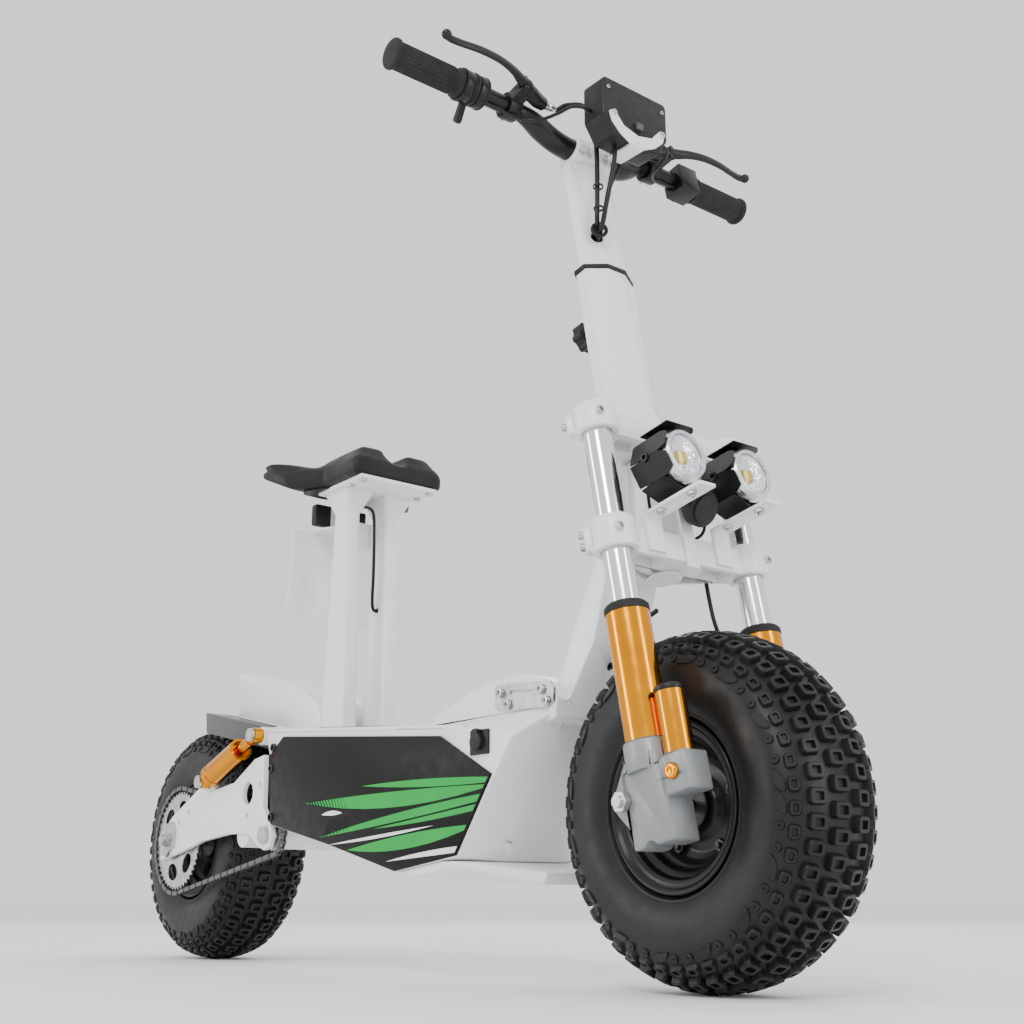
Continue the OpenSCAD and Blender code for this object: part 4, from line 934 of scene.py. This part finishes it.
new_piece("cord_grommet", grommet, GRIP, "bar")
head_screws = [facing(steer(14.4, y, 549), STEER_AHEAD) for y in (-26, -14, 14, 26)]
repeated("head_screws", socket_screw(4.2, 2.4), head_screws, ZINC, "bar")

# display details in its own leaning place
DISPLAY_PLACE = STEER @ moved(73.5, 0, 561.3) @ turned(11, "Y")
corner = [DISPLAY_PLACE @ moved(18.4, y, z) @ turned(90, "Y")
          for y, z in ((-46, 25), (46, 25))]
repeated("display_screws", socket_screw(2.6, 1.2), corner, SILVER, "bar")
lugs = [DISPLAY_PLACE @ moved(22.0, y, z) @ turned(90, "Y")
        for y, z in ((-41, -11.5), (41, -11.5))]
repeated("cradle_screws", socket_screw(4, 2.6), lugs, SILVER, "bar")
screen = block((1.2, 92, 52), DISPLAY_PLACE @ moved(-18.6, 0, 5), 0.5, 2)
new_piece("display_screen", screen, SCREEN, "bar")
plug = block((6, 11, 9), DISPLAY_PLACE @ moved(20, 3, -14), 0.8, 2)
new_piece("display_plug", plug, DARK_GREY_AND_MUDGUARD_SHADE, "bar")


# ---- lamps -------------------------------------------------------------------------

def make_lamp(side):
    """One lamp; the right one stands for the CAD nodes, which hold both."""
    name = "right_lamp" if side < 0 else "left_lamp"
    centre = facing(steer(96, 52 * side, 62), STEER_AHEAD, STEER_UP)
    barrel = lathe(eased([(0, -44), (15, -44), (17, -40), (17, -34), (25, -32), (25, -29), (20, -28),
                          (20, -25), (26, -24), (26, -21), (20, -20), (20, -17), (27, -16), (27, -13),
                          (21, -12), (21, -9), (28, -8), (28, 4), (0, 4)], 0.6, 2), centre, 72)
    new_piece(name + "_barrel", barrel, BLACK, "steering",
              ("lamp_bodies",) if side < 0 else ())
    ring = washer([(22.5, 0), (28.5, 0), (31, 3), (31, 9), (27.5, 15.5), (24, 16), (23.4, 12),
                        (22.5, 4)], 0.8, 2, centre, 96)
    new_piece(name + "_bezel", ring, TURNED, "steering",
              ("lamp_bezels",) if side < 0 else ())
    cup = lathe([(4, 4.6), (12, 5.4), (19, 7.4), (23.4, 11), (23.6, 10), (19.4, 6), (12.4, 4.2), (4, 3.4)],
                centre, 64, closed=True)
    new_piece(name + "_reflector", cup, REFLECTOR, "steering")
    new_piece(name + "_emitter", block((13, 13, 4), centre @ moved(0, 0, 6), 0.8, 2),
              EMITTER, "steering")
    dome = lathe([(0, 18.5), (7, 18.1), (14, 16.6), (20, 14), (23.2, 12), (23.2, 11.2), (20, 13.1),
                  (14, 15.7), (7, 17.2), (0, 17.6)], centre, 64)
    new_piece(name + "_glass", dome, GLASS, "steering",
              ("lamp_lenses",) if side < 0 else ())
    # folded shroud: eight sheet petals round the barrel
    shroud = bmesh.new()
    for k in range(8):
        a = math.pi * (k + 0.5) / 4
        turn = centre @ Matrix.Rotation(a, 4, "Z")
        if k in (1, 2):
            reach = 16
        elif k in (5, 6):
            reach = -8
        else:
            reach = 2 if k % 2 else -4
        petal = slab(eased([(-12.6, -36), (12.6, -36), (13.6, -10), (13.6, reach * 0.4), (9, reach),
                            (-9, reach), (-13.6, reach * 0.4), (-13.6, -10)], 1.2, 2, True), 1.6,
                     turn @ moved(0, 33.5, 0) @ turned(90, "X"),
                     0.4, 1)
        merge(shroud, petal)
    new_piece(name + "_shroud", shroud, BLACK, "steering")
    roof = slab(eased([(-21, -20), (21, -20), (21, 20), (14, 27), (-14, 27), (-21, 20)], 1.5, 2, True), 1.6,
                facing(steer(88, 52 * side, 62 + 35.8), STEER_UP, (0, 1, 0)), 0.5, 1)
    new_piece(name + "_visor", roof, BLACK, "steering")
    studs = [facing(steer(84, 52 * side + s * 34.6, 62), (0, s, 0)) for s in (-1, 1)]
    repeated(name + "_pivots", socket_screw(5, 3.6), studs, BLACK, "steering")
    bolts = [facing(steer(u, 52 * side - 6, 15.4), -STEER_UP) for u in (66, 112)]
    repeated(name + "_bracket_bolts", hexagon_nut(5.4, 4, 2.4), bolts, ZINC, "steering")
    wire = tube([steer(u, y * side, w) for u, y, w in
                 [(54, 50, 58), (44, 48, 52), (38, 44, 34), (34, 38, 18), (24, 30, 12)]], 1.9, 12)
    new_piece(name + "_wire", wire, SHEATH, "steering", sharp=60)


make_lamp(-1)
make_lamp(1)
horn_place = STEER @ moved(66, 0, 30) @ turned(128, "Y")
horn_rings = lathe(eased([(0, 4.5), (6, 4.5), (7, 7.5), (9, 7.5), (10, 5), (15, 5), (16, 8), (18.4, 8),
                         (19, 4), (19, 0), (0, 0)], 0.5, 2), horn_place, 64)
new_piece("horn_face", horn_rings, BLACK, "steering")

# ---- fork details ------------------------------------------------------------------

seals, caps = bmesh.new(), bmesh.new()
for side in (-1, 1):
    up = facing(steer(LEG_U, LEG_Y * side, -98), STEER_UP)
    merge(seals, washer([(16.3, 0), (23.6, 0), (23.6, 7), (20.5, 10.5), (16.3, 10.5)], 0.9, 3, up, 64))
    tank = facing(steer(72.5, LEG_Y * side, -192), STEER_UP)
    merge(caps, lathe(eased([(0, -1), (15.6, -1), (15.6, 4), (12, 6), (0, 6)], 0.8, 2), tank, 48))
new_piece("fork_dust_seals", seals, GRIP, "fork_lowers")
new_piece("reservoir_caps", caps, BLACK, "fork_lowers")
knobs = bmesh.new()
for side in (-1, 1):
    merge(knobs, lathe(eased([(0, 0), (8, 0), (8, 3), (6.4, 5), (3, 5), (3, 4), (0, 4)], 0.6, 2),
                       facing(steer(75, 118.4 * side, -272), (0, side, 0)), 40))
new_piece("fork_adjusters", knobs, GOLD, "fork_lowers")
pinch = []
for side in (-1, 1):
    pinch += [facing(steer(LEG_U + 22, (LEG_Y + 13) * side, w), STEER_AHEAD) for w in (-10, 128)]
repeated("crown_pinch_screws", socket_screw(4.6, 3), pinch, ZINC, "steering")
cap = lathe(eased([(0, 0), (20, 0), (20, 3), (17, 4), (0, 4)], 0.8, 2),
            facing(steer(0, 0, -28), -STEER_UP), 56)
new_piece("steerer_cap", cap, WHITE, "steering")
brake_cord = tube([steer(*p) for p in [(6, 62, 2), (6, 62, -70), (0, 80, -115), (-14, 84, -160),
                                       (-34, 82, -196), (-36, 74, -214), (-36, 72.5, -223.4)]], 2.4, 14, 8)
new_piece("fork_brake_cord", brake_cord, SHEATH, "fork_lowers", ("fork_cable",), 60)

# ---- body graphics, screws, mat and cords ------------------------------------------

def bowed(start, end, bow, share):
    """A point at share of the way from start to end, on a line bowed upward by bow."""
    x = start[0] + (end[0] - start[0]) * share
    z = start[1] + (end[1] - start[1]) * share
    return (x, z + 4 * bow * share * (1 - share))


def panel_front(z):
    """The point on the slanted front edge of a side panel at height z."""
    return (293 - 0.76 * (222 - z), z)


def band(tip, top, bottom, rise, drop):
    """Outline of one stripe: a point at the rear, two bowed edges and a straight front end."""
    upper = [bowed(tip, top, rise, k / 8) for k in range(9)]
    lower = [bowed(tip, bottom, -drop, k / 8) for k in range(8, 0, -1)]
    if top == bottom:
        lower = lower[1:]
    return upper + lower


GREEN_BANDS = [band((30, 228), panel_front(222), panel_front(216), 3, 3),
               band((-110, 214), panel_front(214), panel_front(210), 3, 14),
               band((-70, 168), panel_front(204), panel_front(196), 4, 2),
               band((60, 174), panel_front(193), panel_front(186), 0, 2),
               band((0, 150), panel_front(171), panel_front(165), 4, 10)]
WHITE_BANDS = [band((-45, 158), (190, 173), (190, 173), 1, 3),
               band((90, 134), panel_front(148), panel_front(141), 2, 0),
               band((-66, 197), (-14, 197), (-14, 197), 4, 2)]


def decal(outlines, lift, thick):
    """Thin plates of these (x, z) outlines on both side panels."""
    bm = bmesh.new()
    for side in (-1, 1):
        for outline in outlines:
            flat = [(x * -side, z) for x, z in outline]
            place = moved(0, side * (PANEL_FACE + lift), 0)
            turn = facing((0, 0, 0), (0, side, 0), (0, 0, 1))
            merge(bm, slab(flat, thick, place @ turn, 0, 1))
    return bm


new_piece("green_bands", decal(GREEN_BANDS, 0, 0.25), GREEN, "frame")
new_piece("white_bands", decal(WHITE_BANDS, 0, 0.25), WHITE_STRIPE, "frame")
fade = []
for k in range(13):
    x = -104 + k * 7.5
    wide = 4.4 * (1 - k / 14)
    low = 213 - 10 * min(1, (k + 1) / 9)
    fade.append([(x, 216.5), (x + wide, 216.5), (x + wide + 9, low - 2), (x + 9, low - 2)])
for k in range(8):
    x = -60 + k * 8
    wide = 4.2 * (1 - k / 9)
    fade.append([(x, 169 + k * 0.7), (x + wide, 169 + k * 0.7), (x + wide + 12, 190 + k * 0.4),
                 (x + 12, 190 + k * 0.4)])
new_piece("fading_tips", decal(fade, 0.27, 0.08), PANEL, "frame")

mat_outline = eased([(-100, -92), (74, -92), (90, -78), (90, 78), (74, 92), (-100, 92)], 8, 4, True)
mat_place = (moved(0, 0, 289.5 + 200 * DECK_SLOPE)
             @ Matrix.Rotation(math.atan(DECK_SLOPE), 4, "Y"))
new_piece("deck_mat", slab(mat_outline, 1.2, mat_place, 0.4, 1), GRIP, "frame")
plate_bolts = [facing(at(x, 62.6 * side, z), (0, side, 0)) for side in (-1, 1)
               for x, z in ((269, 322), (343, 318), (283, 307), (352, 304))]
repeated("lock_bolt_heads", socket_screw(5.6, 4), plate_bolts, ZINC, "frame")
side_bolts = [facing(at(x, 98 * side, z), (0, side, 0)) for side in (-1, 1)
              for x, z in ((-208, 297), (-211, 268), (-206, 200))]
repeated("side_screws", socket_screw(6, 3.4), side_bolts, BLACK_STEEL_AND_HOLE_SHADE, "frame")

loom = bmesh.new()
for points, radius in (([(-206.9, 8, 650), (-198, 8, 650), (-185, 4, 659), (-155, 0, 660), (-112, -6, 642),
                         (-100, -10, 600), (-108, -4, 550), (-128, 8, 512), (-136, 16, 500),
                         (-136, 26, 500)], 2.4),
                       ([(468, 0, 396), (440, 0, 384), (412, 0, 351), (398, 0, 344), (368, 0, 344)], 2.8)):
    merge(loom, tube([at(*p) for p in points], radius, 14, 8))
new_piece("frame_cords", loom, SHEATH, "frame", ("frame_cables",), 60)
lens = block((3, 78, 24), moved(-226.6, 0, 654.5), 1.2, 2)
new_piece("tail_lens", lens, RED_LENS, "frame")

# ---- chain --------------------------------------------------------------------------

def chain_places(count, first, second, r_first, r_second, plane):
    """Link places along the loop round two sprockets; local X runs along the chain."""
    gap = second - first
    span = gap.length
    lean = math.asin((r_first - r_second) / span)
    base = math.atan2(gap.z, gap.x)
    straight = span * math.cos(lean)
    arc_first = r_first * (math.pi + 2 * lean)
    arc_second = r_second * (math.pi - 2 * lean)
    total = 2 * straight + arc_first + arc_second
    upper = base + math.pi / 2 - lean
    lower = base - math.pi / 2 + lean

    def toward(angle):
        return Vector((math.cos(angle), 0, math.sin(angle)))

    def around(centre, radius, angle):
        return centre + toward(angle) * radius, Vector((math.sin(angle), 0, -math.cos(angle)))

    spots = []
    for k in range(count):
        s = total * k / count
        if s < straight:
            run = toward(base - lean)
            spot = first + toward(upper) * r_first + run * s
        elif s < straight + arc_second:
            spot, run = around(second, r_second, upper - (s - straight) / r_second)
        elif s < 2 * straight + arc_second:
            run = -toward(base + lean)
            spot = second + toward(lower) * r_second + run * (s - straight - arc_second)
        else:
            spot, run = around(first, r_first, lower - (s - 2 * straight - arc_second) / r_first)
        y = Vector((0, 1, 0))
        turn = Matrix((run, y, run.cross(y))).transposed().to_4x4()
        spots.append(Matrix.Translation(spot + y * plane * MM) @ turn)
    return spots


def chain_link(outer):
    bm = bmesh.new()
    half = 3.4 if outer else 2.3
    shape = eased([(-8, -2.6), (-4.6, -3.6), (0, -2.4), (4.6, -3.6), (8, -2.6), (8, 2.6), (4.6, 3.6),
                   (0, 2.4), (-4.6, 3.6), (-8, 2.6)], 1.4, 2, True)
    for side in (-1, 1):
        place = moved(0, side * half + 0.5, 0) @ turned(90, "X")
        merge(bm, slab(shape, 1.0, place, 0.2, 1))
    for x in (-5.3, 5.3):
        merge(bm, lathe([(0, -2), (2.6, -2), (2.6, 2), (0, 2)],
                        facing(at(x, 0, 0), (0, 1, 0)), 12))
    return bm


loop = chain_places(92, REAR_HUB, PIVOT, 0.081, 0.027, -81)
repeated("chain_outer_links", chain_link(True), loop[0::2], CHAIN_STEEL, "swing_arm", ("chain",), 30)
repeated("chain_inner_links", chain_link(False), loop[1::2], CHAIN_STEEL, "swing_arm", (), 30)

# ---- saddle -------------------------------------------------------------------------

SADDLE_SWELL = 0.004


def make_saddle():
    bm = bmesh.new()
    bm.from_mesh(nodes["seat_pad"].data)
    bmesh.ops.remove_doubles(bm, verts=bm.verts, dist=0.00002)
    mesh = bpy.data.meshes.new("saddle")
    bm.to_mesh(mesh)
    bm.free()
    pad = add_object("saddle_form", mesh)
    grid = pad.modifiers.new("even", "REMESH")
    grid.mode = "VOXEL"
    grid.voxel_size = 0.0042
    ease = pad.modifiers.new("ease", "SMOOTH")
    ease.factor = 0.6
    ease.iterations = 14
    flat = applied(pad)
    bpy.data.objects.remove(pad)
    # the wings thin out and rise towards their tips
    for v in flat.vertices:
        far = min(1, max(0, (-0.186 - v.co.x) / 0.058))
        v.co.z += (0.7145 - v.co.z) * 0.62 * far + 0.003 * far
    form = add_object("saddle_form", flat)
    cloth = form.modifiers.new("cloth", "CLOTH")
    setting = cloth.settings
    setting.use_pressure = True
    setting.uniform_pressure_force = 4
    setting.tension_stiffness = 60
    setting.compression_stiffness = 60
    setting.bending_stiffness = 8
    setting.effector_weights.gravity = 0
    cloth.collision_settings.use_self_collision = False
    hold = form.vertex_groups.new(name="base")
    base = [v.index for v in flat.vertices if v.co.z < 0.681]
    hold.add(base, 1.0, "REPLACE")
    setting.vertex_group_mass = "base"
    scene = bpy.context.scene
    before = [v.co.copy() for v in flat.vertices]
    for step in range(1, 15):
        scene.frame_set(step)
    swollen = applied(form)
    form.modifiers.clear()
    scene.frame_set(1)
    for v, old in zip(swollen.vertices, before):
        move = v.co - old
        if move.length > SADDLE_SWELL:
            move = move.normalized() * SADDLE_SWELL
        v.co = old + move
    form.data = swollen
    fine = form.modifiers.new("fine", "SUBSURF")
    fine.levels = fine.render_levels = 1
    final = applied(form)
    bpy.data.objects.remove(form)
    bm = bmesh.new()
    bm.from_mesh(final)
    saddle = new_piece("saddle_cover", bm, VINYL, "frame", ("seat_pad",), 60)


make_saddle()
pan = slab(eased([(-52, -62), (-140, -66), (-176, -88), (-190, -80), (-192, -50), (-186, 0),
                  (-192, 50), (-190, 80), (-176, 88), (-140, 66), (-52, 62)], 5, 3, True),
           2.2, moved(0, 0, 672.6), 0.6, 1)
new_piece("saddle_pan", pan, PLASTIC, "frame")
